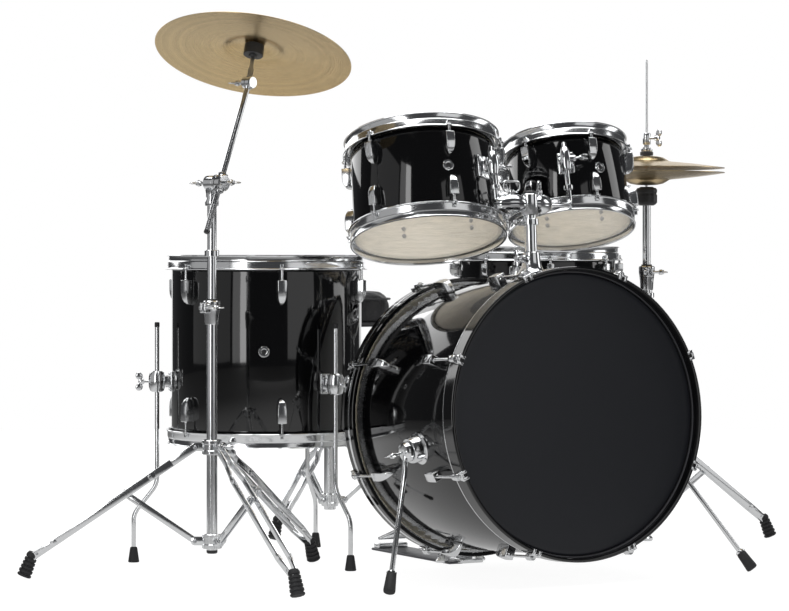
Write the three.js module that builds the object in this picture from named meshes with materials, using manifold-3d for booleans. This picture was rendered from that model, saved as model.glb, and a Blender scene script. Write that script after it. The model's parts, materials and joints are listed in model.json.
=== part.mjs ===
// A five-piece acoustic drum kit with a crash cymbal, hi-hat, throne and kick pedal.
// Millimetres, +Z up, standing on the floor z = 0. +X is the kit's right as the audience
// sees it, +Y runs from the audience towards the drummer.
import * as THREE from "three";
import { mergeVertices } from "three/addons/utils/BufferGeometryUtils.js";
import Module from "manifold-3d";

const wasm = await Module();
wasm.setup();

// ---------------------------------------------------------------- driving dimensions
const INCH = 25.4;
const GAP = 0.5;                       // clearance between neighbouring pieces
const WALL = 7;                        // shell ply
const HEAD_FILM = 1.2;
const ROUND = 24;                      // facets round a tom, cymbal or seat
const ROUND_BASS = 32;

const BASS = { radius: 11 * INCH, depth: 16 * INCH, segments: ROUND_BASS, axisHeight: 338, rise: 3.49 };
const BASS_HOOP = { outer: 293.5, inner: 285.5, width: 38, proud: 21 };
const BASS_LUGS = { count: 8, first: 22.5, length: 54, width: 19, offset: 20, fromEdge: 102 };

const LARGE_TOM = {
  radius: 6 * INCH, depth: 8 * INCH, segments: ROUND, centre: [-134, 387, 788], lean: [90, 300, 950],
  lugs: { count: 6, first: -39, length: 46, width: 18, offset: 13, fromEdge: 57 },
};
const SMALL_TOM = {
  radius: 5 * INCH, depth: 7 * INCH, segments: ROUND, centre: [240, 425, 798], lean: [90, 318, 943],
  lugs: { count: 6, first: -37, length: 46, width: 18, offset: 13, fromEdge: 53 },
};
const FLOOR_TOM = {
  radius: 8 * INCH, depth: 15 * INCH, segments: ROUND, centre: [-334, 722, 452], lean: [0, 0, 1],
  lugs: { count: 6, first: -48, length: 52, width: 19, offset: 13, fromEdge: 68 },
};
const SNARE = {
  radius: 7 * INCH, depth: 5 * INCH, segments: ROUND, centre: [345, 722, 597.5], lean: [0, 0, 1],
  lugs: { count: 8, first: 22.5, length: 30, width: 15, offset: 13, fromEdge: 42 },
};
const STEEL_HOOP = { inner: 4.6, wall: 8, flange: 17, rise: 11, drop: 20.5, sheet: 2.5 };
const ROD_RADIUS = 3;
const CLAW = { high: 22, wide: 22, deep: 32 };

const TOM_POST = { radius: 12.5, drumY: -165, low: 150, collarLow: 386, top: 452, clampHeight: 430 };
const TOM_CLAMP = { length: 50, width: 34, height: 44, inside: 16 };
const TOM_ARM = { radius: 5.25, fromShell: 27, above: 45, bend: 14 };
const TOM_BRACKET = { reach: 42, width: 30, height: 44, along: 8 };
const LARGE_ARM_ANGLE = -67;
const SMALL_ARM_ANGLE = -122;

const SPUR = { alongDrum: -165, angle: 12, foot: [427, 10], radius: 5.25, tip: 12, tipLength: 42 };
const FLOOR_LEG = { angles: [-79, 41, 161], offset: 32, radius: 4.75, bracketZ: 384, top: 502, bendTop: 165 };
const FLOOR_LEG_FOOT = 285;

const CYMBAL_STAND = {
  place: [-598, 438.6], azimuths: [30, 150, 270], footRadius: 380, collar: 266, bracket: 77,
  tube: 11, upperTube: 9.5, clamp: [513, 561], top: 790,
};
const CRASH = { radius: 8 * INCH, centre: [-480, 491, 1063], normal: [273, 241, 931.5], height: 26, bell: 62 };
const BOOM = { radius: 5.5, offset: 24, face: 11, below: 112, pivotBelow: 62 };
const HIHAT = {
  place: [604, 662.5], azimuths: [-15.5, 104.5, 224.5], footRadius: 300, collar: 250, bracket: 72,
  tube: 12.7, upperTube: 9.5, clamp: [573, 628], seat: 767, lowRim: 840, highRim: 851.5, rodTop: 1098,
  radius: 7 * INCH, height: 28, bell: 52, pedal: 140,
};
const ROD_BORE = 5;                    // inside the hi-hat's tubes
const HIHAT_HEEL = { out: 305, height: 16, toe: 62, toeHeight: 78 };
const SNARE_STAND = {
  place: [345, 722], azimuths: [-20, 100, 220], footRadius: 200, collar: 210, bracket: 70,
  tube: 11, upperTube: 9.5, clamp: [300, 340], hub: 478,
};
const THRONE = {
  place: [70, 1200], azimuths: [90, 210, 330], footRadius: 240, collar: 215, bracket: 77,
  tube: 14, post: 11, clamp: [330, 372], seatRadius: 145, seatTop: 570, seatThick: 83,
};
const LEG = { pivot: 34, strap: 2.5, width: 16, inner: 10 };
const RUBBER_FOOT = { length: 52, radius: 15, lean: 22, ankle: 40 };
const PEDAL = { axleY: 470, axleZ: 182, heelY: 770, heelZ: 24, reach: 176, lean: 45, width: 84 };

// ---------------------------------------------------------------- materials
const paint = (colour, roughness, metalness) =>
  new THREE.MeshStandardMaterial({ color: colour, roughness, metalness });
const BLACK_WRAP = paint(0x0a0a0b, 0.12, 0);
const BLACK_HEAD = paint(0x15161a, 0.6, 0);
const CLEAR_HEAD = paint(0xe8e6de, 0.25, 0);
const CHROME = paint(0xd8dadc, 0.12, 1);
const BRASS = paint(0xc9a866, 0.35, 1);
const VINYL = paint(0x141414, 0.5, 0);

// ---------------------------------------------------------------- solids and shapes
const vec = (x, y, z) => new THREE.Vector3(x, y, z);
const Z_AXIS = vec(0, 0, 1);
const radians = THREE.MathUtils.degToRad;

/** A closed geometry as a solid: shared corners merged and collapsed triangles dropped. */
function toSolid(geometry) {
  const plain = geometry.clone();
  plain.deleteAttribute("normal");
  plain.deleteAttribute("uv");
  const merged = mergeVertices(plain, 1e-3);
  const triangles = [];
  const index = merged.index.array;
  for (let i = 0; i < index.length; i += 3) {
    const [a, b, c] = [index[i], index[i + 1], index[i + 2]];
    if (a !== b && b !== c && c !== a) triangles.push(a, b, c);
  }
  const vertProperties = new Float32Array(merged.attributes.position.array);
  return new wasm.Manifold(new wasm.Mesh({ numProp: 3, vertProperties, triVerts: new Uint32Array(triangles) }));
}

/** A solid back as a geometry. */
function toGeometry(solid) {
  const mesh = solid.getMesh();
  const geometry = new THREE.BufferGeometry();
  geometry.setAttribute("position", new THREE.BufferAttribute(new Float32Array(mesh.vertProperties), 3));
  geometry.setIndex(new THREE.BufferAttribute(new Uint32Array(mesh.triVerts), 1));
  geometry.computeVertexNormals();
  return geometry;
}

const join = (...pieces) => toGeometry(pieces.flat().map(toSolid).reduce((whole, next) => whole.add(next)));
const cut = (body, ...tools) =>
  toGeometry(tools.flat().map(toSolid).reduce((whole, next) => whole.subtract(next), toSolid(body)));

/** A solid of revolution about Z from [radius, height] points listed counter-clockwise. */
function lathe(points, segments = ROUND) {
  const profile = points.map(([r, z]) => new THREE.Vector2(r, z));
  const last = points.at(-1);
  if (points[0][0] > 0 || last[0] > 0) profile.push(profile[0].clone());
  return new THREE.LatheGeometry(profile, segments).rotateX(Math.PI / 2);
}

/** A straight round bar between two points. */
function rod(from, to, radius, sides = 8, endRadius = radius) {
  const along = to.clone().sub(from);
  const bar = new THREE.CylinderGeometry(endRadius, radius, along.length(), sides).rotateX(Math.PI / 2);
  bar.applyQuaternion(new THREE.Quaternion().setFromUnitVectors(Z_AXIS, along.clone().normalize()));
  return bar.translate(...from.clone().add(to).multiplyScalar(0.5).toArray());
}

/** A flat bar between two points; side is the direction of its thickness. */
function strap(from, to, width, thickness, side) {
  const along = to.clone().sub(from);
  const length = along.length();
  along.normalize();
  const across = along.clone().cross(side).normalize();
  const thick = along.clone().cross(across).normalize();
  const turn = new THREE.Matrix4().makeBasis(across, thick, along);
  const bar = new THREE.BoxGeometry(width, thickness, length).applyMatrix4(turn);
  return bar.translate(...from.clone().add(to).multiplyScalar(0.5).toArray());
}

/** A round bar along straight runs with a curve of the given size at each corner. */
function bentRod(points, radius, bend, steps = 14) {
  const path = new THREE.CurvePath();
  let start = points[0];
  for (let i = 1; i < points.length - 1; i++) {
    const back = points[i - 1].clone().sub(points[i]).setLength(bend).add(points[i]);
    const ahead = points[i + 1].clone().sub(points[i]).setLength(bend).add(points[i]);
    path.add(new THREE.LineCurve3(start, back));
    path.add(new THREE.QuadraticBezierCurve3(back, points[i], ahead));
    start = ahead;
  }
  path.add(new THREE.LineCurve3(start, points.at(-1)));
  const section = new THREE.Shape().absarc(0, 0, radius, 0, 2 * Math.PI);
  return new THREE.ExtrudeGeometry(section, { steps, curveSegments: 3, extrudePath: path });
}

const box = (x, y, z, at) => new THREE.BoxGeometry(x, y, z).translate(...at);
const turned = (geometry, degrees) => geometry.rotateZ(radians(degrees));
const polar = (radius, degrees, z) =>
  vec(radius * Math.cos(radians(degrees)), radius * Math.sin(radians(degrees)), z);

// ---------------------------------------------------------------- the scene graph
const group = new THREE.Group();
const stage = new THREE.Group();
group.add(stage);

function addPart(parent, name, geometry, material) {
  const mesh = new THREE.Mesh(geometry, material);
  mesh.name = name;
  parent.add(mesh);
  return mesh;
}

function groupAt(parent, x, y, z) {
  const part = new THREE.Group();
  part.position.set(x, y, z);
  parent.add(part);
  return part;
}

/** The turn that takes Z to an axis and keeps X as near to the kit's right as it can. */
function axisFrame(axis) {
  const up = axis.clone().normalize();
  const right = vec(1, 0, 0).addScaledVector(up, -up.x).normalize();
  return new THREE.Matrix4().makeBasis(right, up.clone().cross(right), up);
}

// ---------------------------------------------------------------- drums
/** Lug casings: one block for each tension rod, at both ends of the shell. */
function lugCasings(drum, lugs) {
  const casings = [];
  for (const end of [1, -1]) {
    for (let i = 0; i < lugs.count; i++) {
      const z = end * (drum.depth / 2 - lugs.fromEdge);
      const reach = lugs.offset + lugs.width / 2;
      const casing = box(reach + 4, lugs.width, lugs.length, [drum.radius + (reach - 4) / 2, 0, z]);
      casings.push(turned(casing, lugs.first + (360 / lugs.count) * i));
    }
  }
  return casings;
}

function shellSolid(drum, lugs, additions = [], holes = []) {
  const half = drum.depth / 2;
  const tube = lathe([
    [drum.radius - WALL, -half], [drum.radius, -half], [drum.radius, half], [drum.radius - WALL, half],
  ], drum.segments);
  const whole = join(tube, lugCasings(drum, lugs), additions);
  return holes.length ? cut(whole, holes) : whole;
}

/** A drum head: a film across the shell's edge, out to the hoop. */
function headSolid(drum, end) {
  const under = drum.depth / 2 + GAP;
  const outer = drum.radius + 4;
  const profile = [[0, under], [outer, under], [outer, under + HEAD_FILM], [0, under + HEAD_FILM]];
  const head = lathe(profile, drum.segments);
  return end > 0 ? join(head) : join(head.rotateX(Math.PI).rotateZ(Math.PI));
}

/** A flanged steel hoop with its tension rods down to the lugs. */
function steelHoopSolid(drum, lugs, end) {
  const edge = drum.depth / 2;
  const { inner, wall, flange, rise, drop, sheet } = STEEL_HOOP;
  const low = edge - drop;
  const ring = lathe([
    [drum.radius + inner, low], [drum.radius + flange, low], [drum.radius + flange, low + sheet],
    [drum.radius + wall, low + sheet], [drum.radius + wall, edge + rise], [drum.radius + inner, edge + rise],
  ], drum.segments);
  const rods = [];
  const mouth = edge - lugs.fromEdge + lugs.length / 2 + GAP;
  for (let i = 0; i < lugs.count; i++) {
    const out = drum.radius + lugs.offset;
    const bar = rod(vec(out, 0, mouth), vec(out, 0, low + sheet / 2), ROD_RADIUS, 5);
    const angle = lugs.first + (360 / lugs.count) * i;
    rods.push(turned(bar, end > 0 ? angle : 180 - angle));
  }
  const whole = join(ring, rods);
  return end > 0 ? whole : whole.rotateX(Math.PI).rotateZ(Math.PI);
}

/** Group, shell, heads and steel hoops of a tom or snare. */
function drumUnit(name, drum, additions = [], holes = []) {
  const unit = groupAt(stage, ...drum.centre);
  unit.quaternion.setFromRotationMatrix(axisFrame(vec(...drum.lean)));
  addPart(unit, `${name}_shell`, shellSolid(drum, drum.lugs, additions, holes), BLACK_WRAP);
  addPart(unit, `${name}_batter_head`, headSolid(drum, 1), CLEAR_HEAD);
  addPart(unit, `${name}_bottom_head`, headSolid(drum, -1), CLEAR_HEAD);
  addPart(unit, `${name}_top_hoop`, steelHoopSolid(drum, drum.lugs, 1), CHROME);
  addPart(unit, `${name}_bottom_hoop`, steelHoopSolid(drum, drum.lugs, -1), CHROME);
  return unit;
}

// Bass drum: local z points at the audience along the shell, local y is up.
const bassTurn = new THREE.Matrix4().makeRotationX(Math.PI / 2 - radians(BASS.rise));
const bassFrontFace = vec(0, 0, BASS.axisHeight);
const bassAxis = vec(0, 0, 1).applyMatrix4(bassTurn);
const bassUp = vec(0, 1, 0).applyMatrix4(bassTurn);
const bassCentre = bassFrontFace.clone().addScaledVector(bassAxis, -(BASS.depth / 2 + BASS_HOOP.proud));
const bassDrum = groupAt(stage, ...bassCentre.toArray());
bassDrum.quaternion.setFromRotationMatrix(bassTurn);
/** Height along the bass drum's local z of something at the given distance behind its front face. */
const behindFront = (distance) => BASS.depth / 2 + BASS_HOOP.proud + distance;

/** A wooden hoop with its claws and tension rods. */
function bassHoopSolid(end) {
  const face = BASS.depth / 2 + BASS_HOOP.proud;
  const ring = lathe([
    [BASS_HOOP.inner, face - BASS_HOOP.width], [BASS_HOOP.outer, face - BASS_HOOP.width],
    [BASS_HOOP.outer, face], [BASS_HOOP.inner, face],
  ], BASS.segments);
  const claws = [];
  const lugAxis = BASS.radius + BASS_LUGS.offset;
  const mouth = BASS.depth / 2 - BASS_LUGS.fromEdge + BASS_LUGS.length / 2 + GAP;
  for (let i = 0; i < BASS_LUGS.count; i++) {
    const claw = box(CLAW.high, CLAW.wide, CLAW.deep,
      [BASS_HOOP.outer - 8 + CLAW.high / 2, 0, face + 3 - CLAW.deep / 2]);
    const bar = rod(vec(lugAxis, 0, mouth), vec(lugAxis, 0, face - CLAW.deep / 2), ROD_RADIUS, 5);
    const angle = BASS_LUGS.first + (360 / BASS_LUGS.count) * i;
    claws.push(...[claw, bar].map((piece) => turned(piece, end > 0 ? angle : 180 - angle)));
  }
  const whole = join(ring, claws);
  return end > 0 ? whole : whole.rotateX(Math.PI).rotateZ(Math.PI);
}

/** The tom holder's flared base on top of the shell, and the hole for its post. */
function tomBase() {
  const low = BASS.radius - WALL + 1;
  const base = lathe([
    [0, low], [46, low], [46, BASS.radius + 3], [30, BASS.radius + 12], [19, BASS.radius + 28],
    [17, BASS.radius + 52], [0, BASS.radius + 52],
  ], 16);
  const bore = rod(vec(0, 0, low - 40), vec(0, 0, BASS.radius + 90), TOM_POST.radius + GAP, 16);
  return [base, bore].map((piece) => piece.rotateX(-Math.PI / 2).translate(0, 0, behindFront(TOM_POST.drumY)));
}

/** A round spur bracket on one side of the shell: side is 1 for the kit's right. */
function spurBracket(side) {
  const bracket = rod(vec(BASS.radius - WALL + 2, 0, 0), vec(BASS.radius + 26, 0, 0), 26, 12);
  const angle = side > 0 ? -SPUR.angle : 180 + SPUR.angle;
  return turned(bracket, angle).translate(0, 0, behindFront(SPUR.alongDrum));
}

const [postBase, postBore] = tomBase();
addPart(bassDrum, "bass_drum_shell",
  shellSolid(BASS, BASS_LUGS, [postBase, spurBracket(1), spurBracket(-1)], [postBore]), BLACK_WRAP);
addPart(bassDrum, "bass_front_head", headSolid(BASS, 1), BLACK_HEAD);
addPart(bassDrum, "bass_batter_head", headSolid(BASS, -1), CLEAR_HEAD);
addPart(bassDrum, "bass_front_hoop", bassHoopSolid(1), BLACK_WRAP);
addPart(bassDrum, "bass_batter_hoop", bassHoopSolid(-1), BLACK_WRAP);

/** One spur: hub against its bracket, bent leg and rubber tip on the floor. */
function spurSolid(side) {
  const angle = side > 0 ? -SPUR.angle : 180 + SPUR.angle;
  const face = polar(BASS.radius + 26 + GAP, angle, behindFront(SPUR.alongDrum));
  const cap = polar(BASS.radius + 42, angle, behindFront(SPUR.alongDrum));
  const [hubIn, hubOut] = [face, cap].map((point) => bassDrum.localToWorld(point));
  const middle = hubIn.clone().lerp(hubOut, 0.5);
  const knee = middle.clone().add(vec(side * 14, -22, -42));
  const foot = vec(side * SPUR.foot[0], SPUR.foot[1], 0);
  const slope = knee.clone().sub(foot).normalize();
  foot.z = SPUR.tip * Math.hypot(slope.x, slope.y);
  const tipTop = foot.clone().addScaledVector(slope, SPUR.tipLength);
  const leg = bentRod([middle, knee, tipTop.clone().lerp(foot, 0.3)], SPUR.radius, 24);
  return join(rod(hubIn, hubOut, 20, 12), leg, rod(foot, tipTop, SPUR.tip, 10, SPUR.tip - 2));
}
bassDrum.updateWorldMatrix(true, true);
addPart(stage, "bass_spur_left", spurSolid(-1), CHROME);
addPart(stage, "bass_spur_right", spurSolid(1), CHROME);

// ---------------------------------------------------------------- tom holder and rack toms
/** Where a tom's arm stands: the elbow at the clamp's height and the top of its upright. */
function armLine(drum, angle, height) {
  const frame = axisFrame(vec(...drum.lean));
  const up = vec(...drum.lean).normalize();
  const foot = polar(drum.radius + TOM_ARM.fromShell, angle, 0).applyMatrix4(frame).add(vec(...drum.centre));
  const elbow = foot.clone().addScaledVector(up, (height - foot.z) / up.z);
  const top = foot.clone().addScaledVector(up, TOM_ARM.above);
  return { elbow, top };
}

/** The clamp block on a rack tom's shell and the hole its arm passes. */
function tomBracket(drum, angle) {
  const { reach, width, height, along } = TOM_BRACKET;
  const block = box(reach + 3, width, height, [drum.radius + (reach - 3) / 2, 0, along]);
  const bore = rod(vec(drum.radius + TOM_ARM.fromShell, 0, -200), vec(drum.radius + TOM_ARM.fromShell, 0, 200),
    TOM_ARM.radius + GAP, 12);
  return [turned(block, angle), turned(bore, angle)];
}

const postCentre = vec(0, 0, behindFront(TOM_POST.drumY));
const postHead = bassDrum.localToWorld(postCentre.clone().setY(TOM_POST.clampHeight));
const largeArm = armLine(LARGE_TOM, LARGE_ARM_ANGLE, postHead.z);
const smallArm = armLine(SMALL_TOM, SMALL_ARM_ANGLE, postHead.z);

/** The post: tube down into the drum, a collar and one clamp block towards each arm. */
function tomPostSolid() {
  const at = (height) => bassDrum.localToWorld(postCentre.clone().setY(height));
  const blocks = [];
  const bores = [];
  for (const { elbow } of [largeArm, smallArm]) {
    const away = elbow.clone().sub(postHead).normalize();
    blocks.push(strap(postHead.clone(), postHead.clone().addScaledVector(away, TOM_CLAMP.length),
      TOM_CLAMP.width, TOM_CLAMP.height, Z_AXIS));
    bores.push(rod(postHead.clone().addScaledVector(away, TOM_CLAMP.inside - GAP),
      postHead.clone().addScaledVector(away, 120), TOM_ARM.radius + GAP, 12));
  }
  const tube = rod(at(TOM_POST.low), at(TOM_POST.top), TOM_POST.radius, 16);
  const collar = rod(at(TOM_POST.collarLow), at(TOM_POST.collarLow + 14), 17, 16);
  return cut(join(tube, collar, blocks), bores);
}

function tomArmSolid({ elbow, top }) {
  const away = elbow.clone().sub(postHead).normalize();
  const inner = postHead.clone().addScaledVector(away, TOM_CLAMP.inside);
  return join(bentRod([inner, elbow, top], TOM_ARM.radius, TOM_ARM.bend, 16));
}

addPart(stage, "tom_post", tomPostSolid(), CHROME);
addPart(stage, "large_tom_arm", tomArmSolid(largeArm), CHROME);
addPart(stage, "small_tom_arm", tomArmSolid(smallArm), CHROME);
const [largeBlock, largeBore] = tomBracket(LARGE_TOM, LARGE_ARM_ANGLE);
drumUnit("large_tom", LARGE_TOM, [largeBlock], [largeBore]);
const [smallBlock, smallBore] = tomBracket(SMALL_TOM, SMALL_ARM_ANGLE);
drumUnit("small_tom", SMALL_TOM, [smallBlock], [smallBore]);

// ---------------------------------------------------------------- floor tom and its legs
function floorLegBrackets() {
  const blocks = [];
  const bores = [];
  const z = FLOOR_LEG.bracketZ - FLOOR_TOM.centre[2];
  for (const angle of FLOOR_LEG.angles) {
    const axis = FLOOR_TOM.radius + FLOOR_LEG.offset;
    const block = box(FLOOR_LEG.offset + 16, 26, 38, [FLOOR_TOM.radius + FLOOR_LEG.offset / 2 + 5, 0, z]);
    const bore = rod(vec(axis, 0, z - 60), vec(axis, 0, z + 60), FLOOR_LEG.radius + GAP, 12);
    blocks.push(turned(block, angle));
    bores.push(turned(bore, angle));
  }
  return [blocks, bores];
}

/** A leg: straight through its bracket, kicked out near the floor, with a rubber tip. */
function floorLegSolid(angle) {
  const axis = FLOOR_TOM.radius + FLOOR_LEG.offset;
  const foot = polar(FLOOR_LEG_FOOT, angle, 0);
  const points = [
    polar(axis, angle, FLOOR_LEG.top), polar(axis, angle, FLOOR_LEG.bendTop),
    polar(FLOOR_LEG_FOOT, angle, FLOOR_LEG.bendTop - 62), polar(FLOOR_LEG_FOOT, angle, 20),
  ];
  const tip = lathe([[0, 0], [12, 0], [7.5, 32], [0, 32]], 8).translate(foot.x, foot.y, 0);
  return join(bentRod(points, FLOOR_LEG.radius, 16, 20), tip);
}

const [legBlocks, legBores] = floorLegBrackets();
drumUnit("floor_tom", FLOOR_TOM, legBlocks, legBores);
const floorLegs = groupAt(stage, FLOOR_TOM.centre[0], FLOOR_TOM.centre[1], 0);
FLOOR_LEG.angles.forEach((angle, i) => {
  addPart(floorLegs, `floor_tom_leg_${i + 1}`, floorLegSolid(angle), CHROME);
});

// ---------------------------------------------------------------- tripods
/** The points of one tripod leg in its stand's own frame, and the lean of its rubber foot. */
function legPoints(stand, angle) {
  const pivot = polar(LEG.pivot, angle, stand.collar);
  const low = polar(LEG.pivot, angle, stand.bracket);
  const lean = radians(RUBBER_FOOT.lean);
  const tread = polar(Math.sin(lean), angle, -Math.cos(lean));
  const foot = polar(stand.footRadius, angle, RUBBER_FOOT.radius * Math.sin(lean));
  const ankle = foot.clone().addScaledVector(tread, -RUBBER_FOOT.ankle);
  const down = ankle.clone().sub(pivot).normalize();
  const joint = pivot.clone().addScaledVector(down, (stand.collar - stand.bracket) / (-2 * down.z));
  return { pivot, low, foot, tread, ankle, down, joint, side: polar(1, angle + 90, 0) };
}

const rubberFoot = (foot, tread) =>
  rod(foot.clone().addScaledVector(tread, -RUBBER_FOOT.length), foot,
    RUBBER_FOOT.radius * 0.75, 8, RUBBER_FOOT.radius);

/** Two straps from the collar to the foot, and the rubber foot that joins them. */
function foldingLeg(stand, angle) {
  const { pivot, foot, tread, ankle, down, side } = legPoints(stand, angle);
  const straps = [-1, 1].map((edge) => {
    const shift = side.clone().multiplyScalar(edge * (LEG.inner + LEG.strap) / 2);
    const from = pivot.clone().addScaledVector(down, -LEG.width / 2).add(shift);
    return strap(from, ankle.clone().add(shift), LEG.width, LEG.strap, side);
  });
  return [...straps, rubberFoot(foot, tread)];
}

/** A leg of a tripod that stays spread: one channel from the collar to the foot. */
function spreadLeg(stand, angle) {
  const { pivot, foot, tread, ankle, side } = legPoints(stand, angle);
  const channel = LEG.inner + 2 * LEG.strap;
  return [strap(pivot, ankle, LEG.width, channel, side), rubberFoot(foot, tread)];
}

/** The brace between the lower bracket and the leg. */
function tripodBrace(stand, angle) {
  const { low, joint, side } = legPoints(stand, angle);
  const along = joint.clone().sub(low).normalize();
  const reach = joint.clone().addScaledVector(along, 6);
  return strap(low.clone().addScaledVector(along, -6), reach, 12, LEG.inner - 2.4, side);
}

/** A ring round the tube with one tongue, or one pair of cheeks, for each leg or brace. */
function tripodRing(stand, height, radius, cheeks) {
  const [low, high] = [height - 14, height + 14];
  const pieces = [lathe([[radius, low], [20, low], [20, high], [radius, high]], 12)];
  for (const angle of stand.azimuths) {
    const side = polar(1, angle + 90, 0);
    const shifts = cheeks ? [-(LEG.inner + 1) / 2, (LEG.inner + 1) / 2] : [0];
    for (const shift of shifts) {
      const move = side.clone().multiplyScalar(shift);
      const thickness = cheeks ? 2.5 : LEG.inner - 2.4;
      pieces.push(strap(polar(16, angle, height).add(move), polar(LEG.pivot + 7, angle, height).add(move),
        16, thickness, side));
    }
  }
  return pieces;
}

/** Ring clamp with a wing screw, round a tube. */
function ringClamp([low, high], inner, outer, angle) {
  const ring = lathe([[inner, low], [outer, low], [outer, high], [inner, high]], 12);
  const middle = (low + high) / 2;
  const screw = rod(polar(outer - 3, angle, middle), polar(outer + 26, angle, middle), 4, 6);
  const wing = strap(polar(outer + 20, angle, middle - 16), polar(outer + 20, angle, middle + 16), 12, 5,
    polar(1, angle + 90, 0));
  return [ring, screw, wing];
}

/** A hollow tube standing on Z. */
const tube = (outer, inner, low, high) =>
  lathe([[inner, low], [outer, low], [outer, high], [inner, high]], 12);

/** All of a fixed spread tripod, braced and pinned to its tube. */
function spreadTripod(stand) {
  return [
    ...tripodRing(stand, stand.collar, stand.tube - 1, false),
    ...tripodRing(stand, stand.bracket, stand.tube - 1, false),
    ...stand.azimuths.flatMap((angle) => [...spreadLeg(stand, angle), tripodBrace(stand, angle)]),
  ];
}

// ---------------------------------------------------------------- cymbal stand
const cymbalStand = groupAt(stage, ...CYMBAL_STAND.place, 0);
const standTube = CYMBAL_STAND.tube;
addPart(cymbalStand, "cymbal_stand_base_tube", join(
  tube(standTube, CYMBAL_STAND.upperTube + GAP, 36, CYMBAL_STAND.clamp[0] + 6),
  tripodRing(CYMBAL_STAND, CYMBAL_STAND.bracket, standTube - 1, true),
  ringClamp(CYMBAL_STAND.clamp, CYMBAL_STAND.upperTube + GAP, 18, 205),
), CHROME);
addPart(cymbalStand, "cymbal_stand_leg_collar", join(
  tripodRing(CYMBAL_STAND, CYMBAL_STAND.collar, standTube + GAP, false),
), CHROME);
CYMBAL_STAND.azimuths.forEach((angle, i) => {
  addPart(cymbalStand, `cymbal_stand_leg_${i + 1}`, join(foldingLeg(CYMBAL_STAND, angle)), CHROME);
  addPart(cymbalStand, `cymbal_stand_brace_${i + 1}`, join(tripodBrace(CYMBAL_STAND, angle)), CHROME);
});

// The boom leans in the upright plane through the column and the cymbal's pivot.
const crashNormal = vec(...CRASH.normal).normalize();
const crashPivot = vec(...CRASH.centre).addScaledVector(crashNormal, -BOOM.pivotBelow);
const columnTop = vec(...CYMBAL_STAND.place, CYMBAL_STAND.top + 8);
const boomSide = crashPivot.clone().sub(columnTop).setZ(0).normalize().cross(Z_AXIS);
const boomThrough = columnTop.clone().addScaledVector(boomSide, BOOM.offset);
const boomAlong = crashPivot.clone().sub(boomThrough).normalize();

addPart(stage, "cymbal_stand_upper_tube", join(
  rod(vec(...CYMBAL_STAND.place, 300), columnTop, CYMBAL_STAND.upperTube, 12),
  rod(columnTop.clone().addScaledVector(boomSide, -13),
    columnTop.clone().addScaledVector(boomSide, BOOM.face), 15, 12),
), CHROME);
addPart(stage, "boom_tilter", cut(
  join(rod(columnTop.clone().addScaledVector(boomSide, BOOM.face + GAP),
    boomThrough.clone().addScaledVector(boomSide, 12),
    17, 12)),
  rod(boomThrough.clone().addScaledVector(boomAlong, -60), boomThrough.clone().addScaledVector(boomAlong, 60),
    BOOM.radius + GAP, 12),
), CHROME);
addPart(stage, "boom_arm", join(
  rod(boomThrough.clone().addScaledVector(boomAlong, -BOOM.below),
    crashPivot.clone().addScaledVector(boomAlong, -16), BOOM.radius, 8),
), CHROME);
addPart(stage, "cymbal_tilter", join(
  rod(crashPivot.clone().addScaledVector(boomSide, -11),
    crashPivot.clone().addScaledVector(boomSide, 11), 13, 10),
  rod(crashPivot, crashPivot.clone().addScaledVector(crashNormal, 128), 4, 8),
  rod(crashPivot.clone().addScaledVector(crashNormal, 60), crashPivot.clone().addScaledVector(crashNormal, 84),
    20, 12),
  rod(crashPivot.clone().addScaledVector(crashNormal, 89), crashPivot.clone().addScaledVector(crashNormal, 108),
    13, 10),
), CHROME);

/** A cymbal: bow and bell of even thickness with a centre hole. */
function cymbalSolid(radius, height, bell) {
  const sheet = 1.6;
  const top = [[radius, 0], [radius * 0.62, height * 0.33], [bell, height * 0.52], [bell * 0.72, height * 0.9],
    [7, height]];
  const under = top.map(([r, z]) => [r, z - sheet]).reverse();
  return lathe([...under, ...top]);
}

const crash = addPart(stage, "crash_cymbal", join(cymbalSolid(CRASH.radius, CRASH.height, CRASH.bell)), BRASS);
crash.position.set(...CRASH.centre);
crash.quaternion.setFromRotationMatrix(axisFrame(crashNormal));

// ---------------------------------------------------------------- hi-hat
const hihat = groupAt(stage, ...HIHAT.place, 0);
addPart(hihat, "hihat_base", join(
  tube(HIHAT.tube, ROD_BORE, 150, HIHAT.clamp[0] + 6),
  tube(HIHAT.tube, ROD_BORE, 40, 90),
  ...[-1, 1].map((edge) => strap(
    polar(12 * edge, HIHAT.pedal + 90, 60), polar(12 * edge, HIHAT.pedal + 90, 180),
    16, 3, polar(1, HIHAT.pedal + 90, 0))),
  strap(polar(0, 0, 3), polar(0, 0, 46), 20, 20, polar(1, HIHAT.pedal, 0)),
  strap(polar(0, 0, 5.5), polar(HIHAT_HEEL.out + 12, HIHAT.pedal, 5.5), 34, 5, Z_AXIS),
  strap(polar(HIHAT_HEEL.out - 12, HIHAT.pedal, 10),
    polar(HIHAT_HEEL.out + 12, HIHAT.pedal, 10), 60, 10, Z_AXIS),
  tube(HIHAT.upperTube, ROD_BORE, HIHAT.clamp[1] - 8, HIHAT.seat + 2),
  ringClamp(HIHAT.clamp, ROD_BORE, 19, 250),
  tube(24, ROD_BORE, HIHAT.seat, HIHAT.lowRim - HIHAT.height - 3),
  spreadTripod(HIHAT),
), CHROME);
addPart(hihat, "hihat_rod", join(
  rod(vec(0, 0, 124), vec(0, 0, HIHAT.rodTop), 3, 8),
  rod(vec(0, 0, HIHAT.highRim + HIHAT.height + 1), vec(0, 0, HIHAT.highRim + HIHAT.height + 52), 9, 10),
  rod(vec(0, 0, HIHAT.highRim + HIHAT.height - 14), vec(0, 0, HIHAT.highRim + HIHAT.height + 1), 5.8, 10),
  strap(polar(0, 0, HIHAT.highRim + 66), polar(30, -60, HIHAT.highRim + 66), 6, 14, Z_AXIS),
), CHROME);
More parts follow.
